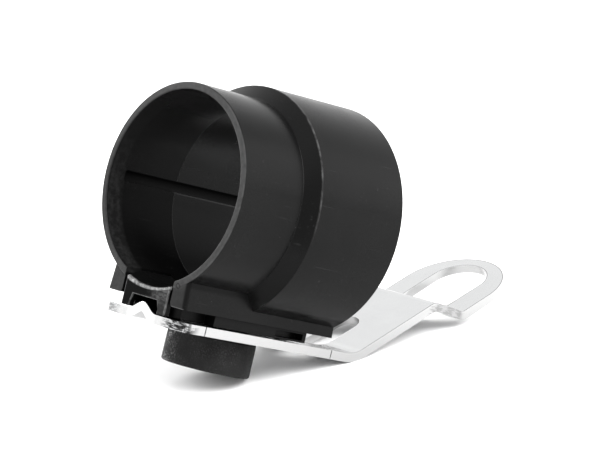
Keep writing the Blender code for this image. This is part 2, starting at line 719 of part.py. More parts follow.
def make_pivot_stack(root, washers, knob):
    """Rings around the clamp bolt. All share the pivot's axis."""
    floor = FLOOR_TOP_Z + GAP
    under = ARM_UNDER_Z - GAP
    ring_seat = GLIDE_TOP_Z - FRICTION_RING_THICK + RING_FIT
    make_bolt(root)
    add_part("head_washer", ring_mesh(WASHER_R, WASHER_HOLE_R, floor, floor + HEAD_WASHER_THICK),
             STEEL, root, PIVOT)
    add_part("pivot_bush", ring_mesh(BUSH_R, WASHER_HOLE_R, ARM_TOP_Z + GAP, FLOOR_TOP_Z),
             BRASS, root, PIVOT)
    add_part("friction_ring", ring_mesh(FRICTION_RING_R, BUSH_R + GAP, ring_seat, GLIDE_TOP_Z),
             FIBRE, root, PIVOT)
    add_part("thrust_washer", ring_mesh(WASHER_R, WASHER_HOLE_R, under - THRUST_WASHER_THICK, under),
             STEEL, washers, PIVOT)
    make_spring_washer(washers)
    make_knob(knob)
    insert_top = KNOB_TOP_Z - KNOB_RECESS_DEPTH
    add_part("knob_insert", ring_mesh(INSERT_R, INSERT_BORE_R, insert_top - INSERT_LENGTH, insert_top),
             BRASS, knob, PIVOT)
    pad = cylinder_mesh(PAD_R, KNOB_BOTTOM_Z, KNOB_BOTTOM_Z + PAD_THICK)
    add_part("foot_pad", pad, RUBBER, knob, PIVOT)


# --- Resting pose ------------------------------------------------------------
def rest_pitch():
    """Angle between the flat of the arm and the ground line.

    The ground line touches the knob's lower rear rim, a small circle, and the
    outside of the heel bend, a large one.
    """
    rim = Vector((PIVOT_Y + KNOB_R - KNOB_ROUND, KNOB_BOTTOM_Z + KNOB_ROUND))
    run = HEEL_BEND_R * math.tan(0.5 * RISE_ANGLE)
    heel = Vector((HEEL_Y - run, ARM_TOP_Z + HEEL_BEND_R))
    link = heel - rim
    grow = HEEL_BEND_R + ARM_THICK - KNOB_ROUND
    return math.atan2(link.y, link.x) - math.asin(grow / link.length)


def stand_on_floor():
    """Move the rest frame so that the origin is the bottom centre of the box."""
    bpy.context.view_layer.update()
    graph = bpy.context.evaluated_depsgraph_get()
    low = Vector((math.inf,) * 3)
    high = -low
    for part in PARTS.objects:
        if part.type != "MESH":
            continue
        shown = part.evaluated_get(graph)
        for vertex in shown.data.vertices:
            place = shown.matrix_world @ vertex.co
            low = Vector(map(min, low, place))
            high = Vector(map(max, high, place))
    centre = 0.5 * (low + high)
    REST.location -= Vector((centre.x, centre.y, low.z))
    bpy.context.view_layer.update()


clear_scene()
PARTS = new_collection("swivel_socket_bracket")
CUTTERS = new_collection("cutters")
PLASTIC = new_material("moulded_black", (0.030, 0.030, 0.032), 0.42, 0.0)
PLASTIC_DARK = new_material("moulded_dark", (0.018, 0.018, 0.019), 0.55, 0.0)
RUBBER = new_material("rubber_black", (0.022, 0.022, 0.022), 0.85, 0.0)
STEEL = new_material("zinc_plated_steel", (0.80, 0.81, 0.82), 0.28, 1.0)
BRASS = new_material("brass", (0.72, 0.55, 0.25), 0.35, 1.0)
FIBRE = new_material("fibre", (0.25, 0.10, 0.06), 0.9, 0.0)

REST = new_empty("rest_frame", Vector())
SWIVEL = new_empty("swivel_axis", PIVOT, REST)
WASHERS = new_empty("clamp_travel_axis", PIVOT, REST)
KNOB = new_empty("knob_axis", PIVOT, WASHERS)

make_arm(REST)
make_glide_base(REST)
make_rivets(REST)
make_pivot_stack(REST, WASHERS, KNOB)
make_socket(SWIVEL)
make_latch(SWIVEL)

REST.rotation_euler.x = -rest_pitch()
stand_on_floor()
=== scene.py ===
"""Looks for the swivel socket bracket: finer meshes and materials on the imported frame.

Every piece is modelled in millimetres in the arm's own frame: the origin is the
centre of the socket's mouth, +X is right, +Y runs back along the bore and +Z is
square to the flat of the arm. ARM_FRAME then places it in the row frame.
"""
import json
import math

import bmesh
import bpy
from mathutils import Matrix, Vector


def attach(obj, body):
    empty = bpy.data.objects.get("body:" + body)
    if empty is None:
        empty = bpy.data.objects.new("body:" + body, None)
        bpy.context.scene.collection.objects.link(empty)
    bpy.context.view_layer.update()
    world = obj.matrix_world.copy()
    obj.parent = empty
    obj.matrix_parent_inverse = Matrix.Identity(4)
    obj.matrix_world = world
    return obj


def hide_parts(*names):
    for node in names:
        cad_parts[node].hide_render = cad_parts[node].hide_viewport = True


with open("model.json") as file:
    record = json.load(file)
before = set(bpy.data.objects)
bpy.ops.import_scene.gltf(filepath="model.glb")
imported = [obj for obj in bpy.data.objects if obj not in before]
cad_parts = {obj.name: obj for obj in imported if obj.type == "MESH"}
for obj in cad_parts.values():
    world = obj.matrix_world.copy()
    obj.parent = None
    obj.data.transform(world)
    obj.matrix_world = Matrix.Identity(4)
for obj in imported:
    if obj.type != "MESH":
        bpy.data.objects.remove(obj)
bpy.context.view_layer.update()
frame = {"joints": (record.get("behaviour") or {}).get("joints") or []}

# --- Socket, in millimetres like all sizes but the camera's -------------------------
FRONT_R = 25.0
REAR_R = 28.5
MOUTH_R = 23.2
NARROW_R = 22.7
WIDE_R = 26.7
FRONT_LENGTH = 19.0
SHOULDER_END = 21.8
SOCKET_LENGTH = 49.8
LEAD_IN = 4.5
BORE_STEP = 21.4
RIM_ROUND = 0.45
GROOVE_HALF = 1.4
GROOVE_DROP = 0.35
GROOVE_CORNER = 0.7
GROOVE_DEPTH = 0.9

BASE_HALF_BOTTOM = 14.4
BASE_HALF_TOP = 13.6
BASE_TOP = -19.0
BASE_BOTTOM = -27.4
BASE_FRONT = 0.2
BASE_CORNER = 1.2
FLOOR_TOP = -25.9
EJECTOR_MARK = (10.4, -22.36)          # x and z of its centre on the right tab
EJECTOR_R = 0.55

# --- Latch -----------------------------------------------------------------------
TONGUE_HALF = 7.8
SLOT_HALF = 8.9
SLOT_CORNER = 1.0
SLOT_TOP = -19.5
TONGUE_ROOT = 14.0
TONGUE_ROOT_GAP = 0.5
TONGUE_CROWN_R = 22.8
TONGUE_EDGE = -20.9
TONGUE_UNDER = -24.8
TONGUE_FACE = 1.8
LEG_BOTTOM = -30.0
CROSSBAR_BOTTOM = -26.9
ARCH_HALF_TOP = 4.5
ARCH_HALF_BOTTOM = 5.3
RIB_LENGTH = 11.0
RIB_THICK = 1.3
RIB_BOTTOM = -27.38
LIP_R = 24.4
LIP_DEPTH = 3.8

# --- Steel arm -------------------------------------------------------------------
ARM_HALF = 14.7
ARM_THICK = 2.2
ARM_TOP = -30.3
ARM_UNDER = ARM_TOP - ARM_THICK
HEEL_Y = 58.35
RISE_ANGLE = math.radians(34.6)
FIRST_RISE = 29.6
SHELF_ANGLE = math.radians(-5.0)
SHELF_LENGTH = 10.8
EYE_RUN = 24.3
FRONT_CORNER_R = 4.0
EYE_SLOT_R = 8.1
EYE_SLOT = (-3.4, 20.9)                # its two ends, measured up the eye from the knee
WINDOW_R = 3.7
WINDOW_START = 50.6
WINDOW_END = 14.7                      # measured up the rise from the heel
BEAD_HALF = 5.0
BEAD_HEIGHT = 2.15
BEAD_FLAT = 4.0
BEAD_END = 10.0
BEAD_ROW = 0.4
NICKS = (8.0, 50.2)

# --- Pivot stack -----------------------------------------------------------------
PIVOT_Y = 24.0
PIVOT_POINT = Vector((0.0, PIVOT_Y, -29.0))   # where the record puts the swivel joint
SHANK_R = 3.0
SHANK_FLAT = 2.5
BOLT_HEAD_R = 5.8
BOLT_HEAD_TOP = -23.3
BOLT_HEAD_UNDER = -24.8
BOLT_END = -39.0
BOLT_HEX_R = 1.75
BOLT_HEX_FLOOR = -24.2
POCKET_R = 6.5
POCKET_TOP = -19.8
WASHER_R = 6.0
HEAD_WASHER = (-25.6, -25.05)
THRUST_THICK = 0.9
SPRING_THICK = 1.1
HOLE_R = 3.3                           # through the washers and the bush
BUSH_R = 4.5
BUSH_HOLE_R = 4.8                      # through what turns round the bush
FRICTION_R = 9.0
GAP = 0.3

GLIDE_HALF = 13.0
GLIDE_FRONT = 11.5
GLIDE_REAR = 42.2
GLIDE_TOP = BASE_BOTTOM - 0.06
GLIDE_BOTTOM = ARM_TOP + GAP
GLIDE_LOBE_HALF = 9.5
GLIDE_NOTCH_HALF = 5.8
GLIDE_SWEEP_R = 22.3
GLIDE_WINDOW = (31.8, 41.0)
GLIDE_WINDOW_DEPTH = 2.6
GLIDE_WALL = 0.5
RIVET_X = 8.0
RIVET_Y = 38.6
RIVET_R = 1.5
RIVET_HOLE_R = RIVET_R + 0.25
RIVET_HEAD_R = 2.5

KNOB_R = 10.9
KNOB_TOP = -32.8
KNOB_BOTTOM = -41.3
KNOB_RIM_R = 9.1                       # inside the rim that the foot pad sits in
INSERT_TOP = KNOB_TOP - 2.6

TUBE_STEPS = 160
SMALL_STEPS = 72
SLIVER = 0.004                         # edges shorter than this are closed up before rounding

# --- Camera and light, in metres and degrees -------------------------------------
CAMERA_TARGET = Vector((-0.0026, -0.0048, 0.0321))
CAMERA_DISTANCE = 0.6573
CAMERA_AZIMUTH = 48.10
CAMERA_ELEVATION = 14.89
CAMERA_ROLL = -2.0
CAMERA_LENS = 158.9

TENT_LIGHT = 2.0
# Places on the tent: azimuth, elevation, the angles where the effect is full and none, and the
# share of the tent's light that is left there.
TENT_SPOTS = (
    (-132.0, 15.0, 10.0, 60.0, 0.55),
    (3.0, 60.0, 30.0, 39.0, 0.42),
    (28.0, 4.0, 14.0, 32.0, 0.75),
    (-36.0, 4.0, 10.0, 34.0, 1.45),
)

PLASTIC_GLOSS = 0.092


def arm_frame():
    """From the arm's own frame, in metres, to the row frame."""
    swivel = next(joint for joint in frame["joints"] if joint["name"] == "socket_swivel")
    pitch = math.atan2(swivel["axis"][1], swivel["axis"][2])
    turn = Matrix.Rotation(-pitch, 4, "X")
    return Matrix.Translation(swivel["pos_m"]) @ turn @ Matrix.Translation(-0.001 * PIVOT_POINT)


ARM_FRAME = arm_frame()


# --- Outlines ---------------------------------------------------------------------
def rounded(corners, steps=4, closed=True):
    """Corners (x, y) or (x, y, radius) as points, with an arc at each radius."""
    points = []
    last = len(corners) - 1
    for index, (x, y, *radius) in enumerate(corners):
        corner = Vector((x, y))
        if not radius or (not closed and index in (0, last)):
            points.append(corner)
            continue
        before = (Vector(corners[index - 1][:2]) - corner).normalized()
        after = (Vector(corners[(index + 1) % (last + 1)][:2]) - corner).normalized()
        points += fillet(corner, before, after, radius[0], steps)
    return points


def fillet(corner, before, after, radius, steps):
    """An arc tangent to both sides of a corner."""
    half = 0.5 * before.angle(after)
    centre = corner + (before + after).normalized() * radius / math.sin(half)
    start = corner + before * radius / math.tan(half) - centre
    end = corner + after * radius / math.tan(half) - centre
    sweep = start.angle_signed(end)
    return [centre + Matrix.Rotation(-sweep * step / steps, 2) @ start for step in range(steps + 1)]


def arc(centre_x, centre_y, radius, start, end, steps):
    """Points on an arc, angles in degrees."""
    for step in range(steps + 1):
        angle = math.radians(start + (end - start) * step / steps)
        yield Vector((centre_x + radius * math.cos(angle), centre_y + radius * math.sin(angle)))


def slot_outline(radius, start, end, steps=28):
    """A slot along Y with round ends, tip to tip."""
    far = arc(0.0, end - radius, radius, 0.0, 180.0, steps)
    near = arc(0.0, start + radius, radius, 180.0, 360.0, steps)
    return [*far, *near]


def arm_corners():
    """Corners of the arm's top line in the YZ plane."""
    rise = Vector((math.cos(RISE_ANGLE), math.sin(RISE_ANGLE)))
    shelf = Vector((math.cos(SHELF_ANGLE), math.sin(SHELF_ANGLE)))
    heel = Vector((HEEL_Y, ARM_TOP))
    crest = heel + FIRST_RISE * rise
    knee = crest + SHELF_LENGTH * shelf
    return heel, crest, knee, knee + EYE_RUN * rise


# --- Meshes -----------------------------------------------------------------------
def solid(shape, name):
    """A new object, in millimetres, from a bmesh whose faces are turned outwards."""
    bmesh.ops.remove_doubles(shape, verts=shape.verts, dist=0.0005)
    bmesh.ops.recalc_face_normals(shape, faces=shape.faces)
    mesh = bpy.data.meshes.new(name)
    shape.to_mesh(mesh)
    shape.free()
    made = bpy.data.objects.new(name, mesh)
    bpy.context.scene.collection.objects.link(made)
    return made


def turned(name, profile, steps=SMALL_STEPS, along="Z", y=0.0):
    """A body of revolution from (radius, height) points, about Z or about Y."""
    shape = bmesh.new()
    points = [shape.verts.new((radius, 0.0, height)) for radius, height in profile]
    edges = [shape.edges.new(pair) for pair in zip(points, points[1:] + points[:1])
             if pair[0].co.x > 0.0 or pair[1].co.x > 0.0]
    bmesh.ops.spin(shape, geom=points + edges, axis=(0.0, 0.0, 1.0), cent=(0.0, 0.0, 0.0),
                   angle=2.0 * math.pi, steps=steps, use_merge=True)
    if along == "Y":
        bmesh.ops.transform(shape, verts=shape.verts, matrix=Matrix.Rotation(-0.5 * math.pi, 4, "X"))
    bmesh.ops.translate(shape, verts=shape.verts, vec=(0.0, y, 0.0))
    return solid(shape, name)


def prism(name, outline, low, high):
    """An outline in XY carried from low to high along Z."""
    shape = bmesh.new()
    ring = [shape.verts.new((x, y, low)) for x, y in outline]
    base = shape.faces.new(ring)
    grown = bmesh.ops.extrude_face_region(shape, geom=[base])["geom"]
    lifted = [item for item in grown if isinstance(item, bmesh.types.BMVert)]
    bmesh.ops.translate(shape, verts=lifted, vec=(0.0, 0.0, high - low))
    return solid(shape, name)


def upright(piece):
    """Stand an XY outline up: its depth runs along Y and its Y becomes Z."""
    piece.data.transform(Matrix(((1, 0, 0, 0), (0, 0, 1, 0), (0, 1, 0, 0), (0, 0, 0, 1))))
    piece.data.flip_normals()
    return piece


def block(name, low, high):
    """A box from its low corner to its high corner."""
    low, high = Vector(low), Vector(high)
    shape = bmesh.new()
    place = Matrix.Translation(0.5 * (low + high)) @ Matrix.Diagonal((*(high - low), 1.0))
    bmesh.ops.create_cube(shape, size=1.0, matrix=place)
    return solid(shape, name)


def rod(radius, low, high, y=PIVOT_Y, x=0.0, steps=SMALL_STEPS):
    """A plain cylinder along Z, used as a tool."""
    tool = turned("tool", [(0.0, high), (radius, high), (radius, low), (0.0, low)], steps, y=y)
    tool.data.transform(Matrix.Translation((x, 0.0, 0.0)))
    return tool


def settle(piece):
    """Apply a piece's modifiers."""
    bpy.context.view_layer.update()
    graph = bpy.context.evaluated_depsgraph_get()
    mesh = bpy.data.meshes.new_from_object(piece.evaluated_get(graph))
    piece.modifiers.clear()
    piece.data = mesh
    return piece


def combine(piece, tool, operation="DIFFERENCE"):
    """Cut a piece with a tool, or join it, and remove the tool."""
    change = piece.modifiers.new("change", "BOOLEAN")
    change.operation = operation
    change.solver = "EXACT"
    change.object = tool
    settle(piece)
    bpy.data.objects.remove(tool, do_unlink=True)
    return piece


def round_edges(piece, width, segments=2, sharper=40.0, where=None):
    """Round the edges sharper than an angle, in degrees, or those of them that are chosen."""
    shape = bmesh.new()
    shape.from_mesh(piece.data)
    bmesh.ops.remove_doubles(shape, verts=shape.verts, dist=SLIVER)
    bmesh.ops.dissolve_degenerate(shape, edges=shape.edges, dist=SLIVER)
    chosen = [edge for edge in shape.edges
              if len(edge.link_faces) == 2 and edge.calc_face_angle() > math.radians(sharper)
              and (where is None or where(0.5 * (edge.verts[0].co + edge.verts[1].co)))]
    bmesh.ops.bevel(shape, geom=chosen, offset=width, offset_type="OFFSET", segments=segments,
                    profile=0.5, affect="EDGES", clamp_overlap=True)
    shape.to_mesh(piece.data)
    shape.free()
    return piece


def finished(piece, node, body, material, smooth=38.0):
    """Scale to metres, place in the row frame and tie to its body."""
    piece.data.transform(ARM_FRAME @ Matrix.Scale(0.001, 4))
    piece.data.materials.clear()
    piece.data.materials.append(material)
    piece.data.shade_smooth()
    piece.data.set_sharp_from_angle(angle=math.radians(smooth))
    flatten = piece.modifiers.new("flat_faces", "WEIGHTED_NORMAL")
    flatten.keep_sharp = True
    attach(piece, body)
    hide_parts(node)
    return piece


# --- Materials --------------------------------------------------------------------
class Shader:
    """A small helper that adds nodes and links to one material."""

    def __init__(self, name):
        self.material = bpy.data.materials.new(name)
        self.material.use_nodes = True
        self.tree = self.material.node_tree
        self.surface = self.tree.nodes["Principled BSDF"]
        self.place = self.arm_place()

    def arm_place(self):
        """The shaded point in the arm's own frame, in metres."""
        node = self.tree.nodes.new("ShaderNodeMapping")
        node.vector_type = "TEXTURE"
        node.inputs["Location"].default_value = ARM_FRAME.translation
        node.inputs["Rotation"].default_value = ARM_FRAME.to_euler()
        self.link(self.tree.nodes.new("ShaderNodeTexCoord").outputs["Object"], node.inputs["Vector"])
        return node.outputs["Vector"]

    def axes(self):
        """The three coordinates of the shaded point in the arm's own frame, in millimetres."""
        scale = self.tree.nodes.new("ShaderNodeVectorMath")
        scale.operation = "SCALE"
        scale.inputs["Scale"].default_value = 1000.0
        self.link(self.place, scale.inputs[0])
        node = self.tree.nodes.new("ShaderNodeSeparateXYZ")
        self.link(scale.outputs["Vector"], node.inputs["Vector"])
        return node.outputs["X"], node.outputs["Y"], node.outputs["Z"]

    def set(self, **values):
        for name, value in values.items():
            self.surface.inputs[name.replace("_", " ")].default_value = value

    def link(self, source, socket):
        self.tree.links.new(source, socket)

    def stretched(self, x, y, z):
        node = self.tree.nodes.new("ShaderNodeMapping")
        node.inputs["Scale"].default_value = (x, y, z)
        self.link(self.place, node.inputs["Vector"])
        return node.outputs["Vector"]

    def noise(self, scale, detail=3.0, roughness=0.5, vector=None):
        node = self.tree.nodes.new("ShaderNodeTexNoise")
        node.inputs["Scale"].default_value = scale
        node.inputs["Detail"].default_value = detail
        node.inputs["Roughness"].default_value = roughness
        self.link(vector or self.place, node.inputs["Vector"])
        return node.outputs["Fac"]

    def streaks(self, x, y, z, detail=4.0, roughness=0.7):
        """Noise with its own scale along each axis."""
        return self.noise(1.0, detail, roughness, self.stretched(x, y, z))

    def maths(self, operation, first, second=0.0):
        node = self.tree.nodes.new("ShaderNodeMath")
        node.operation = operation
        for socket, value in zip(node.inputs, (first, second)):
            if isinstance(value, (int, float)):
                socket.default_value = value
            else:
                self.link(value, socket)
        return node.outputs["Value"]

    def chain(self, operation, values):
        """Values combined one after another."""
        result, *rest = values
        for value in rest:
            result = self.maths(operation, result, value)
        return result

    def both(self, *masks):
        """Where all the masks are."""
        return self.chain("MULTIPLY", masks)

    def either(self, *masks):
        """Where any of the masks is."""
        return self.chain("MAXIMUM", masks)

    def ramp(self, source, low, high, start=0.0, end=1.0):
        """Map source from low..high to start..end, held at the ends."""
        node = self.tree.nodes.new("ShaderNodeMapRange")
        node.inputs["From Min"].default_value = low
        node.inputs["From Max"].default_value = high
        node.inputs["To Min"].default_value = start
        node.inputs["To Max"].default_value = end
        self.link(source, node.inputs["Value"])
        return node.outputs["Result"]

    def below(self, source, low, high):
        """One below low, falling to zero at high."""
        return self.ramp(source, low, high, 1.0, 0.0)

    def band(self, source, centre, half, soft):
        """One within half of centre, falling to zero over soft."""
        off = self.maths("ABSOLUTE", self.maths("SUBTRACT", source, centre))
        return self.below(off, half, half + soft)

    def span(self, first, second):
        """The length of a pair of coordinates."""
        squares = (self.both(first, first), self.both(second, second))
        return self.maths("SQRT", self.chain("ADD", squares))

    def mix(self, factor, first, second):
        """Blend two colours or sockets."""
        node = self.tree.nodes.new("ShaderNodeMix")
        node.data_type = "RGBA"
        self.link(factor, node.inputs["Factor"])
        for socket, value in ((node.inputs["A"], first), (node.inputs["B"], second)):
            if isinstance(value, tuple):
                socket.default_value = (*value, 1.0)
            else:
                self.link(value, socket)
        return node.outputs["Result"]

    def tinted(self, tone, mask, grey):
        """A tone turned to a grey under a mask."""
        return self.mix(mask, tone, (grey, grey, grey))

    def colour(self, source):
        self.link(source, self.surface.inputs["Base Color"])

    def roughness(self, source):
        self.link(source, self.surface.inputs["Roughness"])

    def gloss(self, source):
        self.link(source, self.surface.inputs["Specular IOR Level"])

    def bump(self, height, strength, distance):
        node = self.tree.nodes.new("ShaderNodeBump")
        node.inputs["Strength"].default_value = strength
        node.inputs["Distance"].default_value = distance
        self.link(height, node.inputs["Height"])
        self.link(node.outputs["Normal"], self.surface.inputs["Normal"])


def moulded_plastic(name, dark, light, roughness):
    """Satin moulded plastic with a fine grain, faint flow bands, dust and scratches."""
    shader = Shader(name)
    shader.set(Metallic=0.0, IOR=1.47, Specular_IOR_Level=PLASTIC_GLOSS)
    flow = shader.noise(55.0, 2.0)
    tone = shader.mix(shader.ramp(flow, 0.35, 0.7), (dark,) * 3, (light,) * 3)
    specks = shader.ramp(shader.noise(900.0, 4.0, 0.65), 0.64, 0.78, 0.0, 0.22)
    patches = shader.ramp(shader.noise(70.0), 0.42, 0.62)
    tone = shader.tinted(tone, shader.both(specks, patches), 0.09)
    scratches = shader.ramp(shader.streaks(260.0, 60.0, 1900.0, 2.0, 0.5), 0.70, 0.76, 0.0, 0.07)
    tone = shader.tinted(tone, scratches, 0.08)
    shader.colour(tone)
    grain = shader.noise(5200.0, 3.0, 0.6)
    wander = shader.ramp(flow, 0.3, 0.7, roughness - 0.04, roughness + 0.06)
    shader.roughness(shader.maths("ADD", wander, shader.ramp(grain, 0.3, 0.7, -0.03, 0.03)))
    shader.bump(grain, 0.12, 0.00003)
    return shader, tone


def socket_plastic(name):
    """Moulded plastic, rubbed pale at its mouth, with a painted sheen there, painted highlights on its
    edges, painted light and shade in its bore, and duller in its bore.
    """
    shader, tone = moulded_plastic(name, 0.0022, 0.0036, 0.24)
    x, y, z = shader.axes()
    radius = shader.span(x, z)
    front = shader.below(y, 0.3, 0.5)
    past_step = shader.ramp(y, BORE_STEP - 0.1, BORE_STEP + 0.2)
    inside = shader.both(shader.below(radius, MOUTH_R + 0.9, MOUTH_R + 1.1), shader.ramp(y, 0.3, 0.5))
    in_wide = shader.both(past_step, shader.below(radius, WIDE_R + 0.4, WIDE_R + 0.6))

    # The ring and the two tabs of the mouth's face: rubbed pale, and lifted further as a painted sheen of
    # the front-left light, more on the left tab than the right and less on the ring's far left.
    face = shader.both(shader.below(y, 0.1, 0.3), shader.ramp(radius, MOUTH_R - 0.4, MOUTH_R))
    on_tab = shader.ramp(radius, FRONT_R + 0.2, FRONT_R + 0.6)
    tab_share = shader.both(on_tab, shader.ramp(x, -5.0, 5.0, 1.15, 0.60))
    share = shader.maths("ADD", shader.below(on_tab, 0.0, 1.0), tab_share)
    patches = shader.ramp(shader.noise(900.0, 4.0, 0.6), 0.35, 0.7, 0.55, 1.0)
    to_left = shader.ramp(x, -23.5, -12.0, 0.5, 1.0)
    tone = shader.tinted(tone, shader.both(face, share, patches, to_left), 0.036)

    # Painted highlights on edges: along the upper part of the step to the rear tube, and on both edges of
    # the ring on the right, broken up by noise.
    glint_breakup = shader.ramp(shader.noise(420.0, 4.0, 0.6), 0.38, 0.62, 0.1, 1.0)
    step = shader.both(shader.band(y, SHOULDER_END + 0.1, 0.16, 0.16), shader.ramp(z, -6.0, 8.0),
                       shader.ramp(radius, REAR_R - 0.4, REAR_R - 0.2))
    rims = shader.either(shader.band(radius, MOUTH_R + 0.25, 0.12, 0.12),
                         shader.band(radius, FRONT_R - 0.25, 0.10, 0.12))
    rims = shader.both(rims, shader.below(y, 0.4, 0.6), shader.ramp(x, 6.0, 16.0))
    tone = shader.tinted(tone, shader.both(shader.either(step, rims), glint_breakup), 0.048)

    # The ejector mark on the right tab, its ring painted dark as painted shade, and a painted highlight
    # along the bottom edge of both tabs.
    from_mark = shader.span(shader.maths("SUBTRACT", x, EJECTOR_MARK[0]),
                            shader.maths("SUBTRACT", z, EJECTOR_MARK[1]))
    tone = shader.tinted(tone, shader.both(front, shader.band(from_mark, EJECTOR_R, 0.05, 0.1)), 0.0006)
    foot = shader.below(z, BASE_BOTTOM + 0.05, BASE_BOTTOM + 0.25)
    tone = shader.tinted(tone, shader.both(front, foot), 0.060)

    # The bore: a mottled lead-in, its upper part painted paler as painted light, its grooves painted dark
    # as painted shade, and a painted highlight on the ledge under the far one.
    mottle = shader.ramp(shader.noise(700.0, 4.0, 0.6), 0.4, 0.7, 0.3, 1.0)
    lead_in = shader.below(y, LEAD_IN - 0.9, LEAD_IN + 0.5)
    tone = shader.tinted(tone, shader.both(inside, lead_in, mottle), 0.018)
    # Painted light: the upper bore painted paler.
    tone = shader.tinted(tone, shader.both(inside, shader.ramp(z, -4.0, 12.0)), 0.0075)
    narrow_groove = shader.both(inside, shader.ramp(radius, NARROW_R + 0.06, NARROW_R + 0.20))
    wide_groove = shader.both(past_step, shader.ramp(radius, WIDE_R + 0.06, WIDE_R + 0.20),
                              shader.below(radius, WIDE_R + 1.0, WIDE_R + 1.2))
    # Painted shade in both grooves, darker towards their upper side.
    groove_shade = shader.both(shader.either(narrow_groove, wide_groove),
                       shader.band(z, -GROOVE_DROP, GROOVE_HALF - 0.2, 0.6),
                       shader.ramp(z, -1.8, 0.6, 0.45, 0.95), shader.ramp(y, LEAD_IN - 0.5, LEAD_IN - 0.1))
    tone = shader.tinted(tone, groove_shade, 0.0008)
    # Painted highlight on the upward-facing ledge under the far groove.
    ledge = shader.band(z, -GROOVE_DROP - GROOVE_HALF - 0.05, 0.15, 0.20)
    tone = shader.tinted(tone, shader.both(in_wide, ledge), 0.034)
    shader.colour(tone)

    # Less gloss in the bore, in the grooves, low on the tubes and along their tops.
    in_narrow = shader.both(inside, shader.below(y, BORE_STEP - 0.3, BORE_STEP))
    in_bore = shader.maths("ADD", shader.both(in_narrow, shader.ramp(z, -18.0, 4.0, 1.0, 0.45)),
                           shader.both(in_wide, shader.ramp(z, -18.0, 4.0, 0.85, 0.0)))
    low = shader.both(shader.ramp(z, -22.0, -10.0, 0.38, 0.0), shader.ramp(z, -22.6, -21.8),
                      shader.ramp(y, 0.5, 1.0))
    dull = shader.either(in_bore, groove_shade, low, shader.ramp(z, 12.0, 24.0, 0.0, 0.20))
    shader.gloss(shader.ramp(dull, 0.0, 1.0, PLASTIC_GLOSS, 0.0))
    return shader.material


def latch_plastic(name):
    """Moulded plastic, rubbed pale along the lip where plugs slide over it, with painted highlights along
    the lip and the edges of the crossbar, legs and arch.
    """
    shader, tone = moulded_plastic(name, 0.0018, 0.0030, 0.30)
    x, y, z = shader.axes()
    off = shader.maths("ABSOLUTE", x)
    front = shader.below(y, 0.3, 0.6)
    wear_and_glint = shader.ramp(shader.noise(800.0, 4.0, 0.7), 0.38, 0.62, 0.25, 1.0)

    # The lip: rubbed pale by plugs sliding over it, and brightened by a painted highlight along its
    # rounded edge, wider on the left.
    from_lip = shader.maths("ABSOLUTE", shader.maths("SUBTRACT", shader.span(x, z), LIP_R + 0.2))
    past_lip = shader.maths("SUBTRACT", from_lip, shader.ramp(x, -7.0, 0.0, 0.27, 0.20))
    lip = shader.both(shader.below(past_lip, 0.0, 0.3), shader.below(y, 0.5, 1.0), wear_and_glint)

    scrapes = shader.ramp(shader.streaks(500.0, 500.0, 1400.0), 0.42, 0.64, 0.02, 0.21)
    brushed = shader.both(front, shader.ramp(x, 0.0, 3.5), scrapes,
                          shader.ramp(z, CROSSBAR_BOTTOM - 1.1, CROSSBAR_BOTTOM + 0.7, 0.25, 1.0))

    # Painted highlights along the crossbar's underside, the legs' edges and the arch's edge.
    under_bar = shader.both(shader.band(z, CROSSBAR_BOTTOM + 0.05, 0.08, 0.12),
                            shader.below(off, ARCH_HALF_TOP + 0.1, ARCH_HALF_TOP + 0.4))
    leg_edge = shader.ramp(off, TONGUE_HALF - 0.28, TONGUE_HALF - 0.15)
    arch_half = shader.ramp(z, LEG_BOTTOM, CROSSBAR_BOTTOM, ARCH_HALF_BOTTOM, ARCH_HALF_TOP)
    arch_edge = shader.both(shader.band(shader.maths("SUBTRACT", off, arch_half), 0.12, 0.08, 0.12),
                            shader.below(z, CROSSBAR_BOTTOM, CROSSBAR_BOTTOM + 0.2))
    edges = shader.both(shader.either(under_bar, leg_edge, arch_edge), front,
                        shader.ramp(wear_and_glint, 0.25, 1.0, 0.12, 0.40))
    shader.colour(shader.tinted(tone, shader.either(lip, brushed, edges), 0.27))
    shader.gloss(shader.ramp(x, 2.0, 7.0, 0.015, 0.085))
    return shader.material


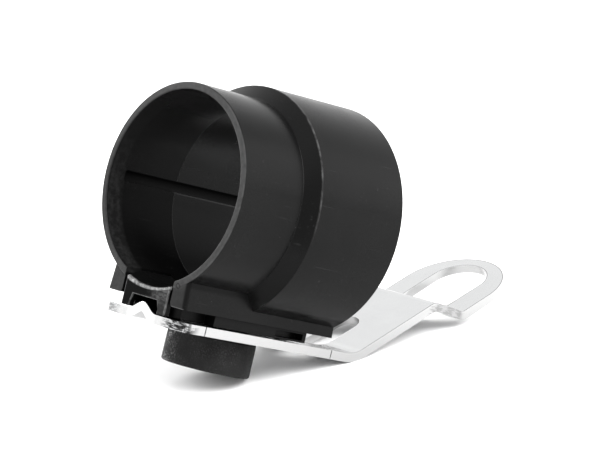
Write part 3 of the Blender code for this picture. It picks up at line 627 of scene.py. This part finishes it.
def zinc_plate(name):
    """Bright zinc plating: nearly mirror smooth, with painted sheen, painted dark reflections and painted
    shade on its edges, faces and corners.
    """
    shader = Shader(name)
    shader.set(Metallic=1.0)
    streak = shader.streaks(2600.0, 90.0, 2600.0, 4.0, 0.6)
    bloom = shader.noise(140.0, 4.0, 0.6)
    tone = shader.mix(shader.ramp(bloom, 0.3, 0.7), (0.355, 0.358, 0.36), (0.375, 0.378, 0.38))
    tone = shader.mix(shader.ramp(streak, 0.55, 0.8, 0.0, 0.2), tone, (0.30, 0.302, 0.305))
    x, y, z = shader.axes()
    off = shader.maths("ABSOLUTE", x)
    rise = Vector((math.cos(RISE_ANGLE), math.sin(RISE_ANGLE)))
    heel, crest, knee, _ = arm_corners()
    along = shader.maths("ADD", shader.maths("MULTIPLY", y, rise.x), shader.maths("MULTIPLY", z, rise.y))

    def past(corner, run):
        """How far the point is past a place on a rising stretch of the arm."""
        return shader.either(shader.maths("SUBTRACT", along, corner.dot(rise) + run), 0.0)

    # Cut faces, with painted light: the arm's side edge painted brighter as a painted sheen, darker at the
    # shelf as painted shade, and the walls of the slot and the window painted pale.
    outer = shader.span(x, past(knee, EYE_RUN - ARM_HALF))
    shelf = shader.both(shader.ramp(y, crest.x - 1.2, crest.x + 0.8),
                        shader.below(y, knee.x - 1.0, knee.x + 1.0))
    side_sheen_and_shade = shader.mix(shelf, (0.45, 0.45, 0.45), (0.36, 0.36, 0.36))
    tone = shader.mix(shader.ramp(outer, ARM_HALF - 0.08, ARM_HALF - 0.02), tone, side_sheen_and_shade)
    from_slot = shader.span(x, past(knee, EYE_SLOT[1] - EYE_SLOT_R))
    in_eye = shader.ramp(y, knee.x - 2.3, knee.x - 1.7)
    slot_wall = shader.both(in_eye, shader.below(from_slot, EYE_SLOT_R + 0.06, EYE_SLOT_R + 0.12))
    # Painted light: the slot's walls painted pale.
    tone = shader.tinted(tone, slot_wall, 0.44)
    before = shader.either(shader.maths("SUBTRACT", WINDOW_START + WINDOW_R, y), 0.0)
    from_window = shader.span(x, shader.either(before, past(heel, WINDOW_END - WINDOW_R)))
    window_wall = shader.both(shader.below(from_window, WINDOW_R + 0.06, WINDOW_R + 0.12),
                              shader.ramp(y, 48.0, 48.2), shader.below(y, 76.0, 76.2))
    # Painted light: the window's walls painted pale, paler than the slot's.
    tone = shader.tinted(tone, window_wall, 0.60)

    # A fine dark line just inside the edges of the sheet and of the slot: a painted dark reflection on
    # their rounding.
    edge_line = shader.both(shader.ramp(outer, ARM_HALF - 0.30, ARM_HALF - 0.24),
                            shader.below(outer, ARM_HALF - 0.10, ARM_HALF - 0.04))
    slot_line = shader.both(in_eye, shader.ramp(from_slot, EYE_SLOT_R + 0.04, EYE_SLOT_R + 0.10),
                            shader.below(from_slot, EYE_SLOT_R + 0.20, EYE_SLOT_R + 0.28))
    line = shader.either(edge_line, slot_line)
    tone = shader.tinted(tone, shader.ramp(line, 0.0, 1.0, 0.0, 0.85), 0.09)

    # The front face and the bead's hollow, painted pale: painted light over their shade.
    face = shader.both(shader.below(y, 0.1, 0.2), shader.below(off, 7.5, 10.0))
    hollow = shader.both(shader.below(off, BEAD_HALF, BEAD_HALF + 0.2),
                         shader.below(y, BEAD_END + 0.4, BEAD_END + 0.6),
                         shader.below(z, ARM_TOP - 0.06, ARM_TOP - 0.02))
    # Painted light: the pale tone laid on the front face and the hollow.
    sheared = shader.mix(shader.ramp(off, 3.0, 5.5), (0.60, 0.60, 0.60), (0.43, 0.43, 0.43))
    tone = shader.mix(shader.either(face, hollow), tone, sheared)

    # Painted dark reflections round the front corners, more on the right, and painted shade on the edge of
    # the shelf.
    corners = shader.both(shader.below(y, 3.0, 6.2), shader.ramp(off, 7.2, 10.8),
                          shader.ramp(x, -1.0, 1.0, 0.5, 1.0))
    shelf_edge = shader.both(shader.ramp(y, crest.x - 2.2, crest.x - 1.2),
                             shader.below(y, knee.x - 1.0, knee.x),
                             shader.ramp(off, ARM_HALF - 0.5, ARM_HALF - 0.2, 0.0, 0.32))
    painted_dark_patches = shader.ramp(shader.streaks(330.0, 330.0, 1500.0), 0.45, 0.54)
    tone = shader.tinted(tone, shader.both(painted_dark_patches, shader.either(corners, shelf_edge)), 0.022)
    shader.colour(tone)
    rough = shader.ramp(bloom, 0.3, 0.7, 0.12, 0.17)
    shader.roughness(shader.maths("ADD", rough, shader.ramp(streak, 0.4, 0.8, 0.0, 0.06)))
    shader.bump(shader.noise(1900.0, 4.0, 0.6), 0.05, 0.00002)
    return shader.material


def rough_rubber(name):
    """Matt black rubber, mottled, with pale specks painted on the left as a painted sheen where the light
    falls on that side.
    """
    shader = Shader(name)
    shader.set(Metallic=0.0, Specular_IOR_Level=0.12)
    patches = shader.ramp(shader.noise(110.0, 3.0), 0.38, 0.64)
    tone = shader.mix(patches, (0.004, 0.004, 0.004), (0.010, 0.010, 0.010))
    # Pale specks painted on the left: a painted sheen where the light falls on that side.
    specks = shader.ramp(shader.noise(3000.0, 5.0, 0.75), 0.50, 0.66)
    lit_side_patches = shader.ramp(shader.noise(240.0), 0.40, 0.62, 0.15, 0.8)
    to_left = shader.ramp(shader.axes()[0], -3.0, 1.0, 1.0, 0.05)
    shader.colour(shader.tinted(tone, shader.both(specks, lit_side_patches, to_left), 0.55))
    grain = shader.noise(3300.0, 5.0, 0.7)
    shader.roughness(shader.ramp(grain, 0.3, 0.7, 0.62, 0.82))
    shader.bump(grain, 0.45, 0.00012)
    return shader.material


def turned_metal(name, colour, roughness):
    """Machined metal with fine rings left by turning."""
    shader = Shader(name)
    shader.set(Metallic=1.0)
    rings = shader.streaks(300.0, 300.0, 9000.0, 3.0, 0.6)
    worn = tuple(0.72 * channel for channel in colour)
    shader.colour(shader.mix(shader.ramp(rings, 0.35, 0.75), colour, worn))
    shader.roughness(shader.ramp(rings, 0.3, 0.7, roughness - 0.05, roughness + 0.10))
    shader.bump(rings, 0.15, 0.00003)
    return shader.material


def pressed_fibre(name):
    """Vulcanised fibre, matt and flecked."""
    shader = Shader(name)
    flecks = shader.noise(2200.0, 4.0, 0.7)
    shader.colour(shader.mix(shader.ramp(flecks, 0.4, 0.65), (0.080, 0.030, 0.018), (0.150, 0.065, 0.040)))
    shader.roughness(shader.ramp(flecks, 0.3, 0.7, 0.78, 0.92))
    shader.bump(flecks, 0.3, 0.00006)
    return shader.material


SOCKET_PLASTIC = socket_plastic("moulded_black")
LATCH_PLASTIC = latch_plastic("moulded_black_worn_highlit")
GLIDE_PLASTIC = moulded_plastic("moulded_dark", 0.0018, 0.0030, 0.34)[0].material
STEEL = zinc_plate("zinc_plated_steel")
RUBBER = rough_rubber("rubber_black")
BRASS = turned_metal("brass", (0.40, 0.29, 0.12), 0.30)
FASTENER = turned_metal("zinc_fastener", (0.30, 0.304, 0.31), 0.26)
FIBRE = pressed_fibre("fibre")


# --- Socket -----------------------------------------------------------------------
def socket_outside():
    corners = [
        (0.0, SOCKET_LENGTH),
        (REAR_R, SOCKET_LENGTH, RIM_ROUND),
        (REAR_R - 0.1, SHOULDER_END, 0.3),
        (FRONT_R, FRONT_LENGTH, 0.25),
        (FRONT_R, 0.0, RIM_ROUND),
        (0.0, 0.0),
    ]
    return turned("socket_detail", rounded(corners, 4, closed=False), TUBE_STEPS, "Y")


def socket_base():
    """The block under the tubes, with drafted sides and rounded corners."""
    outline = rounded([
        (-BASE_HALF_BOTTOM, BASE_FRONT, BASE_CORNER),
        (BASE_HALF_BOTTOM, BASE_FRONT, BASE_CORNER),
        (BASE_HALF_BOTTOM, SOCKET_LENGTH - 0.05, 0.4),
        (-BASE_HALF_BOTTOM, SOCKET_LENGTH - 0.05, 0.4),
    ], 6)
    base = prism("base", outline, BASE_BOTTOM - 1.0, BASE_TOP)
    draft = BASE_HALF_TOP / BASE_HALF_BOTTOM
    for vertex in base.data.vertices:
        if vertex.co.z > BASE_BOTTOM:
            vertex.co.x *= draft
    return base


def socket_bore():
    corners = [
        (0.0, SOCKET_LENGTH + 1.0),
        (WIDE_R + 1.0, SOCKET_LENGTH + 1.0),
        (WIDE_R + 1.0, SOCKET_LENGTH + 0.02),
        (WIDE_R, SOCKET_LENGTH + 0.02, RIM_ROUND),
        (WIDE_R, BORE_STEP + 0.6, 0.2),
        (NARROW_R, BORE_STEP, 0.15),
        (NARROW_R, LEAD_IN, 2.0),
        (MOUTH_R, -0.02, 0.4),
        (MOUTH_R + 1.0, -0.02),
        (MOUTH_R + 1.0, -1.0),
        (0.0, -1.0),
    ]
    bore = turned("bore", rounded(corners, 4, closed=False), TUBE_STEPS, "Y")
    floor = block("floor", (-REAR_R, BORE_STEP - 1.0, -REAR_R - 1.0),
                  (REAR_R, SOCKET_LENGTH + 2.0, FLOOR_TOP))
    combine(bore, floor)
    for side in (-1.0, 1.0):
        combine(bore, groove(NARROW_R, LEAD_IN, BORE_STEP + 2.0, side), "UNION")
        combine(bore, groove(WIDE_R, BORE_STEP, SOCKET_LENGTH + 0.5, side), "UNION")
    return bore


def mouth_slot():
    """What is cut away around the latch, flared at its lower corners."""
    outline = []
    for side in (-1.0, 1.0):
        centre = SLOT_HALF + SLOT_CORNER
        flare = [Vector((side * (centre - point.x), point.y)) for point in
                 arc(0.0, BASE_BOTTOM + SLOT_CORNER, SLOT_CORNER, 0.0, -90.0, 6)]
        run = [Vector((side * SLOT_HALF, SLOT_TOP)), *flare, Vector((side * centre, BASE_BOTTOM - 2.0))]
        outline += run if side < 0.0 else run[::-1]
    return upright(prism("mouth_slot", outline, -1.0, TONGUE_ROOT))


def groove(radius, start, end, side):
    """A key groove with a round-cornered front end."""
    low, high = -GROOVE_DROP - GROOVE_HALF, -GROOVE_DROP + GROOVE_HALF
    outline = rounded([(start, low, GROOVE_CORNER), (end, low),
                       (end, high), (start, high, GROOVE_CORNER)], 6)
    inner, outer = side * (radius - 2.0), side * (radius + GROOVE_DEPTH)
    tool = prism("groove", outline, min(inner, outer), max(inner, outer))
    tool.data.transform(Matrix(((0, 0, 1, 0), (1, 0, 0, 0), (0, 1, 0, 0), (0, 0, 0, 1))))
    return tool


def on_slot_or_rim(point):
    """On the edges of the latch's slot or on the bottom rim of the base."""
    side = abs(point.x)
    on_slot = point.y < TONGUE_ROOT + 0.1 and side < SLOT_HALF + SLOT_CORNER and point.z < BASE_TOP
    on_rim = abs(point.z - BASE_BOTTOM) < 0.01 and side > SLOT_HALF + SLOT_CORNER - 0.02
    return on_slot or on_rim


def make_socket():
    socket = combine(socket_outside(), socket_base(), "UNION")
    combine(socket, block("below", (-REAR_R, -1.0, -REAR_R - 2.0),
                          (REAR_R, SOCKET_LENGTH + 1.0, BASE_BOTTOM)))
    combine(socket, socket_bore())
    combine(socket, mouth_slot())
    combine(socket, rod(POCKET_R, FLOOR_TOP - 0.03, POCKET_TOP))
    combine(socket, rod(BUSH_HOLE_R, BASE_BOTTOM - 1.0, FLOOR_TOP + 1.0))
    round_edges(socket, 0.22, 3, 45.0, on_slot_or_rim)
    return finished(socket, "socket_body", "socket", SOCKET_PLASTIC)


# --- Latch ------------------------------------------------------------------------
def make_latch():
    root, joined = TONGUE_ROOT - TONGUE_ROOT_GAP, TONGUE_UNDER + 0.5
    latch = block("latch_detail", (-TONGUE_HALF, 0.0, TONGUE_UNDER), (TONGUE_HALF, root, TONGUE_EDGE))
    wall = block("wall", (-TONGUE_HALF, 0.0, LEG_BOTTOM), (TONGUE_HALF, TONGUE_FACE, joined))
    combine(latch, wall, "UNION")
    for side in (-1.0, 1.0):
        outer, inner = side * TONGUE_HALF, side * (TONGUE_HALF - RIB_THICK)
        rib = block("rib", (min(outer, inner), 0.5 * TONGUE_FACE, RIB_BOTTOM),
                    (max(outer, inner), RIB_LENGTH, joined))
        combine(latch, rib, "UNION")
    half = [(ARCH_HALF_BOTTOM, LEG_BOTTOM - 1.0), (ARCH_HALF_BOTTOM, LEG_BOTTOM + 1.0, 0.4),
            (ARCH_HALF_TOP, CROSSBAR_BOTTOM, 0.5)]
    other = [(-x, *rest) for x, *rest in reversed(half)]
    combine(latch, upright(prism("arch", rounded(half + other), -1.0, TONGUE_FACE + 1.0)))
    funnel = rounded([(0.0, TONGUE_ROOT), (TONGUE_CROWN_R, TONGUE_ROOT), (TONGUE_CROWN_R, LIP_DEPTH, 3.0),
                      (LIP_R, 0.0), (LIP_R + 0.4, -1.0), (0.0, -1.0)], 5, closed=False)
    combine(latch, turned("funnel", funnel, TUBE_STEPS, "Y"))
    round_edges(latch, 0.22, 3, 35.0)
    return finished(latch, "latch_tongue", "latch", LATCH_PLASTIC)


# --- Steel arm --------------------------------------------------------------------
def arm_line():
    heel, crest, knee, tip = arm_corners()
    corners = [(0.0, ARM_TOP), (*heel, 10.0), (*crest, 3.4), (*knee, 1.6), tuple(tip)]
    bead_rows = [Vector((BEAD_ROW * step, ARM_TOP)) for step in range(round(BEAD_END / BEAD_ROW) + 1)]
    return bead_rows + rounded(corners, 12, closed=False)[1:]


def bead_rise(x, y):
    """Height of the pressed bead above the flat of the arm."""
    if abs(x) >= BEAD_HALF or y >= BEAD_END:
        return 0.0
    across = math.cos(0.5 * math.pi * x / BEAD_HALF) ** 2
    fade = min(1.0, (BEAD_END - y) / (BEAD_END - BEAD_FLAT))
    return BEAD_HEIGHT * across * math.sin(0.5 * math.pi * fade) ** 2


def arm_sheet():
    """The arm's top face as an open sheet, thickened downwards."""
    inner = [BEAD_HALF * (step / 16.0 - 1.0) for step in range(33)]
    columns = [-ARM_HALF, *inner, ARM_HALF]
    shape = bmesh.new()
    grid = [[shape.verts.new((x, row.x, row.y + bead_rise(x, row.x))) for x in columns]
            for row in arm_line()]
    for front, behind in zip(grid, grid[1:]):
        for left in range(len(columns) - 1):
            shape.faces.new((front[left], front[left + 1], behind[left + 1], behind[left]))
    bmesh.ops.dissolve_limit(shape, angle_limit=math.radians(0.1), verts=shape.verts, edges=shape.edges)
    mesh = bpy.data.meshes.new("arm_detail")
    shape.to_mesh(mesh)
    shape.free()
    sheet = bpy.data.objects.new("arm_detail", mesh)
    bpy.context.scene.collection.objects.link(sheet)
    thick = sheet.modifiers.new("thickness", "SOLIDIFY")
    thick.thickness = ARM_THICK
    thick.offset = -1.0
    thick.use_even_offset = True
    return settle(sheet)


def laid(tool, corner):
    """Lay a tool made on the XY plane onto a rising stretch of the arm."""
    tool.data.transform(Matrix.Rotation(RISE_ANGLE, 4, "X"))
    tool.data.transform(Matrix.Translation((0.0, corner.x, corner.y)))
    return tool


def corner_tool(side):
    """What is outside a rounded front corner of the arm."""
    inner = ARM_HALF - FRONT_CORNER_R
    outline = [Vector((side * (ARM_HALF + 1.0), -1.0)), Vector((side * inner, -1.0))]
    outline += [Vector((side * point.x, point.y)) for point in
                arc(inner, FRONT_CORNER_R, FRONT_CORNER_R, -90.0, 0.0, 14)]
    outline.append(Vector((side * (ARM_HALF + 1.0), FRONT_CORNER_R)))
    return prism("corner", outline, ARM_UNDER - 2.0, ARM_TOP + 2.0)


def eye_tool():
    """What is outside the round tip of the eye."""
    centre = EYE_RUN - ARM_HALF
    reach = EYE_RUN + 2.0
    outline = [*arc(0.0, centre, ARM_HALF, 180.0, 0.0, 64)]
    outline += [Vector(point) for point in ((ARM_HALF + 1.0, centre), (ARM_HALF + 1.0, reach),
                                            (-ARM_HALF - 1.0, reach), (-ARM_HALF - 1.0, centre))]
    return prism("eye_end", outline, -5.0, 5.0)


def nick(side, y):
    """A fine upright groove left in the sheared edge."""
    tool = block("nick", (-0.16, -0.16, ARM_UNDER - 1.0), (0.16, 0.16, ARM_TOP + 1.0))
    tool.data.transform(Matrix.Rotation(math.radians(45.0), 4, "Z"))
    tool.data.transform(Matrix.Translation((side * (ARM_HALF + 0.02), y, 0.0)))
    return tool


def double_d(radius, flat, steps=16):
    """A circle with two flats."""
    reach = math.degrees(math.acos(flat / radius))
    return [*arc(0.0, PIVOT_Y, radius, reach, 180.0 - reach, steps),
            *arc(0.0, PIVOT_Y, radius, 180.0 + reach, 360.0 - reach, steps)]


def make_arm():
    heel, _, knee, _ = arm_corners()
    arm = arm_sheet()
    for side in (-1.0, 1.0):
        combine(arm, corner_tool(side))
        for y in NICKS:
            combine(arm, nick(side, y))
        combine(arm, rod(RIVET_HOLE_R, ARM_UNDER - 1.0, ARM_TOP + 1.0, RIVET_Y, side * RIVET_X, 32))
    combine(arm, laid(eye_tool(), knee))
    combine(arm, laid(prism("eye_slot", slot_outline(EYE_SLOT_R, *EYE_SLOT), -6.0, 5.0), knee))
    combine(arm, prism("window", slot_outline(WINDOW_R, WINDOW_START, HEEL_Y + WINDOW_R),
                       ARM_UNDER - ARM_THICK, ARM_TOP + 2.0 * ARM_THICK))
    combine(arm, laid(prism("window", slot_outline(WINDOW_R, -WINDOW_R, WINDOW_END),
                            -2.0 * ARM_THICK, ARM_THICK), heel))
    combine(arm, prism("shank_hole", double_d(HOLE_R, SHANK_FLAT + 0.25), ARM_UNDER - 1.0, ARM_TOP + 1.0))
    round_edges(arm, 0.24, 3, 50.0)
    return finished(arm, "arm_plate", "arm", STEEL, 42.0)


# --- Glide base and rivets --------------------------------------------------------
def make_glide_base():
    glide = block("glide_detail", (-GLIDE_HALF, GLIDE_FRONT, GLIDE_BOTTOM),
                  (GLIDE_HALF, GLIDE_REAR, GLIDE_TOP))
    lobe = block("lobe", (-GLIDE_LOBE_HALF, 0.0, GLIDE_BOTTOM),
                 (GLIDE_LOBE_HALF, GLIDE_FRONT + 1.0, GLIDE_TOP))
    combine(glide, lobe, "UNION")
    combine(glide, rod(GLIDE_SWEEP_R, GLIDE_BOTTOM - 1.0, GLIDE_TOP + 1.0, steps=TUBE_STEPS), "INTERSECT")
    combine(glide, block("notch", (-GLIDE_NOTCH_HALF, -1.0, GLIDE_BOTTOM - 1.0),
                         (GLIDE_NOTCH_HALF, BEAD_END + 0.5, GLIDE_TOP + 1.0)))
    for side in (-1.0, 1.0):
        inner, outer = side * (GLIDE_HALF - GLIDE_WINDOW_DEPTH), side * (GLIDE_HALF + 1.0)
        combine(glide, block("window", (min(inner, outer), GLIDE_WINDOW[0], GLIDE_BOTTOM + GLIDE_WALL),
                             (max(inner, outer), GLIDE_WINDOW[1], GLIDE_TOP - GLIDE_WALL)))
        combine(glide, rod(RIVET_HOLE_R, GLIDE_BOTTOM - 1.0, GLIDE_TOP + 1.0, RIVET_Y, side * RIVET_X, 32))
    combine(glide, rod(BUSH_HOLE_R, GLIDE_BOTTOM - 1.0, GLIDE_TOP + 1.0))
    combine(glide, rod(FRICTION_R + 0.2, GLIDE_TOP - 0.8, GLIDE_TOP + 1.0))
    round_edges(glide, 0.12, 2, 50.0)
    return finished(glide, "glide_base", "arm", GLIDE_PLASTIC)


def make_rivets():
    head = ARM_UNDER - 0.02
    profile = rounded([
        (0.0, GLIDE_TOP - 0.25),
        (RIVET_R, GLIDE_TOP - 0.25, 0.2),
        (RIVET_R, head),
        (RIVET_HEAD_R, head, 0.05),
        (RIVET_HEAD_R - 0.4, head - 0.30, 0.2),
        (0.0, head - 0.42),
    ], 5, closed=False)
    for name, x in (("rivet_left", -RIVET_X), ("rivet_right", RIVET_X)):
        rivet = turned(f"{name}_detail", profile, 40, y=RIVET_Y)
        rivet.data.transform(Matrix.Translation((x, 0.0, 0.0)))
        finished(rivet, name, "arm", FASTENER)


# --- Pivot stack ------------------------------------------------------------------
def ring(name, outer, inner, low, high, edge=0.12):
    corners = [(outer, high, edge), (outer, low, edge), (inner, low, edge), (inner, high, edge)]
    return turned(name, rounded(corners, 3), y=PIVOT_Y)


def make_bolt():
    corners = [
        (0.0, BOLT_HEAD_TOP),
        (BOLT_HEAD_R - 2.2, BOLT_HEAD_TOP, 0.6),
        (BOLT_HEAD_R - 0.7, BOLT_HEAD_TOP - 0.5, 0.6),
        (BOLT_HEAD_R, BOLT_HEAD_TOP - 1.13, 0.2),
        (BOLT_HEAD_R, BOLT_HEAD_UNDER, 0.08),
        (SHANK_R, BOLT_HEAD_UNDER),
        (SHANK_R, BOLT_END + 0.4, 0.1),
        (SHANK_R - 0.4, BOLT_END, 0.1),
        (0.0, BOLT_END),
    ]
    bolt = turned("bolt_detail", rounded(corners, 4, closed=False), y=PIVOT_Y)
    combine(bolt, rod(BOLT_HEX_R, BOLT_HEX_FLOOR, BOLT_HEAD_TOP + 1.0, steps=6))
    for side in (-1.0, 1.0):
        near, far = side * SHANK_FLAT, side * (SHANK_R + 1.0)
        combine(bolt, block("flat", (min(near, far), PIVOT_Y - 4.0, BOLT_END - 1.0),
                            (max(near, far), PIVOT_Y + 4.0, ARM_TOP + GAP)))
    round_edges(bolt, 0.06, 2, 55.0)
    finished(bolt, "pivot_bolt", "arm", FASTENER)


def make_knob():
    corners = [
        (KNOB_R, KNOB_TOP, 0.7),
        (KNOB_R, KNOB_BOTTOM, 0.55),
        (KNOB_RIM_R, KNOB_BOTTOM, 0.25),
        (KNOB_RIM_R, KNOB_BOTTOM + 1.4, 0.1),
        (BUSH_HOLE_R, KNOB_BOTTOM + 1.4, 0.1),
        (BUSH_HOLE_R, INSERT_TOP, 0.1),
        (WASHER_R + 0.5, INSERT_TOP, 0.2),
        (WASHER_R + 0.5, KNOB_TOP, 0.4),
    ]
    knob = turned("knob_detail", rounded(corners, 5), 128, y=PIVOT_Y)
    finished(knob, "knob_body", "knob", RUBBER)


def make_pivot_stack():
    under = ARM_UNDER - GAP
    spring_top = under - THRUST_THICK - GAP
    finished(ring("head_washer_detail", WASHER_R, HOLE_R, *HEAD_WASHER, 0.1), "head_washer",
             "arm", FASTENER)
    finished(ring("pivot_bush_detail", BUSH_R, HOLE_R, ARM_TOP + GAP, FLOOR_TOP), "pivot_bush",
             "arm", BRASS)
    finished(ring("friction_ring_detail", FRICTION_R, BUSH_HOLE_R, GLIDE_TOP - 0.6, GLIDE_TOP),
             "friction_ring", "arm", FIBRE)
    finished(ring("thrust_washer_detail", WASHER_R, HOLE_R, under - THRUST_THICK, under), "thrust_washer",
             "clamp_washers", FASTENER)
    spring = ring("spring_washer_detail", WASHER_R - 0.5, HOLE_R, spring_top - SPRING_THICK, spring_top)
    slit = block("slit", (0.0, -0.35, -40.0), (7.0, 0.35, -30.0))
    slit.data.transform(Matrix.Rotation(math.radians(20.0), 4, "Z"))
    slit.data.transform(Matrix.Translation((0.0, PIVOT_Y, 0.0)))
    finished(combine(spring, slit), "spring_washer", "clamp_washers", FASTENER)
    finished(ring("knob_insert_detail", BUSH_R, HOLE_R - 0.1, INSERT_TOP - 3.9, INSERT_TOP), "knob_insert",
             "knob", BRASS)
    edge, top = KNOB_RIM_R - 0.3, KNOB_BOTTOM + 1.1
    pad = [(0.0, top), (edge, top, 0.1), (edge, KNOB_BOTTOM, 0.3), (0.0, KNOB_BOTTOM)]
    finished(turned("foot_pad_detail", rounded(pad, 4, closed=False), 96, y=PIVOT_Y), "foot_pad",
             "knob", RUBBER)


# --- Stage ------------------------------------------------------------------------
def make_floor():
    shape = bmesh.new()
    bmesh.ops.create_grid(shape, x_segments=1, y_segments=1, size=4.0)
    floor = solid(shape, "floor")
    paint = Shader("floor_paper")
    paint.set(Roughness=0.9, Specular_IOR_Level=0.1)
    paint.colour(paint.mix(paint.noise(9.0), (0.92, 0.92, 0.92), (0.94, 0.94, 0.94)))
    floor.data.materials.append(paint.material)


def heading(azimuth, elevation):
    """A direction as a vector. Azimuth is to the left of +Y, seen from above, in degrees."""
    turn, rise = math.radians(azimuth), math.radians(elevation)
    return Vector((-math.sin(turn) * math.cos(rise), math.cos(turn) * math.cos(rise), math.sin(rise)))


def panel(name, azimuth, elevation, distance, size, radiance):
    """A soft panel facing the bracket."""
    lamp = bpy.data.lights.new(name, "AREA")
    lamp.shape = "RECTANGLE"
    lamp.size, lamp.size_y = size
    lamp.energy = radiance * math.pi * size[0] * size[1]
    holder = bpy.data.objects.new(name, lamp)
    bpy.context.scene.collection.objects.link(holder)
    holder.location = distance * heading(azimuth, elevation)
    holder.rotation_euler = (-holder.location).to_track_quat("-Z", "Y").to_euler()


def make_tent():
    """A white tent all round, dimmer or brighter in a few places."""
    world = bpy.data.worlds.new("studio")
    bpy.context.scene.world = world
    world.use_nodes = True
    nodes, links = world.node_tree.nodes, world.node_tree.links
    way = nodes.new("ShaderNodeTexCoord").outputs["Generated"]
    strength = None
    for azimuth, elevation, core, edge, share in TENT_SPOTS:
        across = nodes.new("ShaderNodeVectorMath")
        across.operation = "DOT_PRODUCT"
        across.inputs[1].default_value = heading(azimuth, elevation)
        links.new(way, across.inputs[0])
        fade = nodes.new("ShaderNodeMapRange")
        fade.interpolation_type = "SMOOTHSTEP"
        fade.inputs["From Min"].default_value = math.cos(math.radians(edge))
        fade.inputs["From Max"].default_value = math.cos(math.radians(core))
        fade.inputs["To Min"].default_value = 1.0
        fade.inputs["To Max"].default_value = share
        links.new(across.outputs["Value"], fade.inputs["Value"])
        product = nodes.new("ShaderNodeMath")
        product.operation = "MULTIPLY"
        product.inputs[0].default_value = TENT_LIGHT
        if strength:
            links.new(strength, product.inputs[0])
        links.new(fade.outputs["Result"], product.inputs[1])
        strength = product.outputs["Value"]
    links.new(strength, nodes["Background"].inputs["Strength"])
    nodes["Background"].inputs["Color"].default_value = (1.0, 1.0, 1.0, 1.0)


def make_lights():
    make_tent()
    panel("right_fill", -85.0, 46.0, 1.0, (0.9, 0.7), 6.5)
    panel("front_left", 116.0, 27.0, 0.9, (0.5, 0.42), 4.0)


def make_camera():
    lens = bpy.data.cameras.new("photo_view")
    lens.lens = CAMERA_LENS
    lens.sensor_width = 36.0
    holder = bpy.data.objects.new("photo_view", lens)
    bpy.context.scene.collection.objects.link(holder)
    turn = (Matrix.Rotation(math.radians(CAMERA_AZIMUTH), 4, "Z")
            @ Matrix.Rotation(math.radians(90.0 - CAMERA_ELEVATION), 4, "X")
            @ Matrix.Rotation(math.radians(CAMERA_ROLL), 4, "Z"))
    back = turn @ Vector((0.0, 0.0, CAMERA_DISTANCE))
    holder.matrix_world = Matrix.Translation(CAMERA_TARGET + back) @ turn
    bpy.context.scene.camera = holder


bpy.context.scene.view_settings.view_transform = "Standard"
make_camera()
make_lights()
make_floor()
make_arm()
make_glide_base()
make_rivets()
make_pivot_stack()
make_bolt()
make_knob()
make_socket()
make_latch()
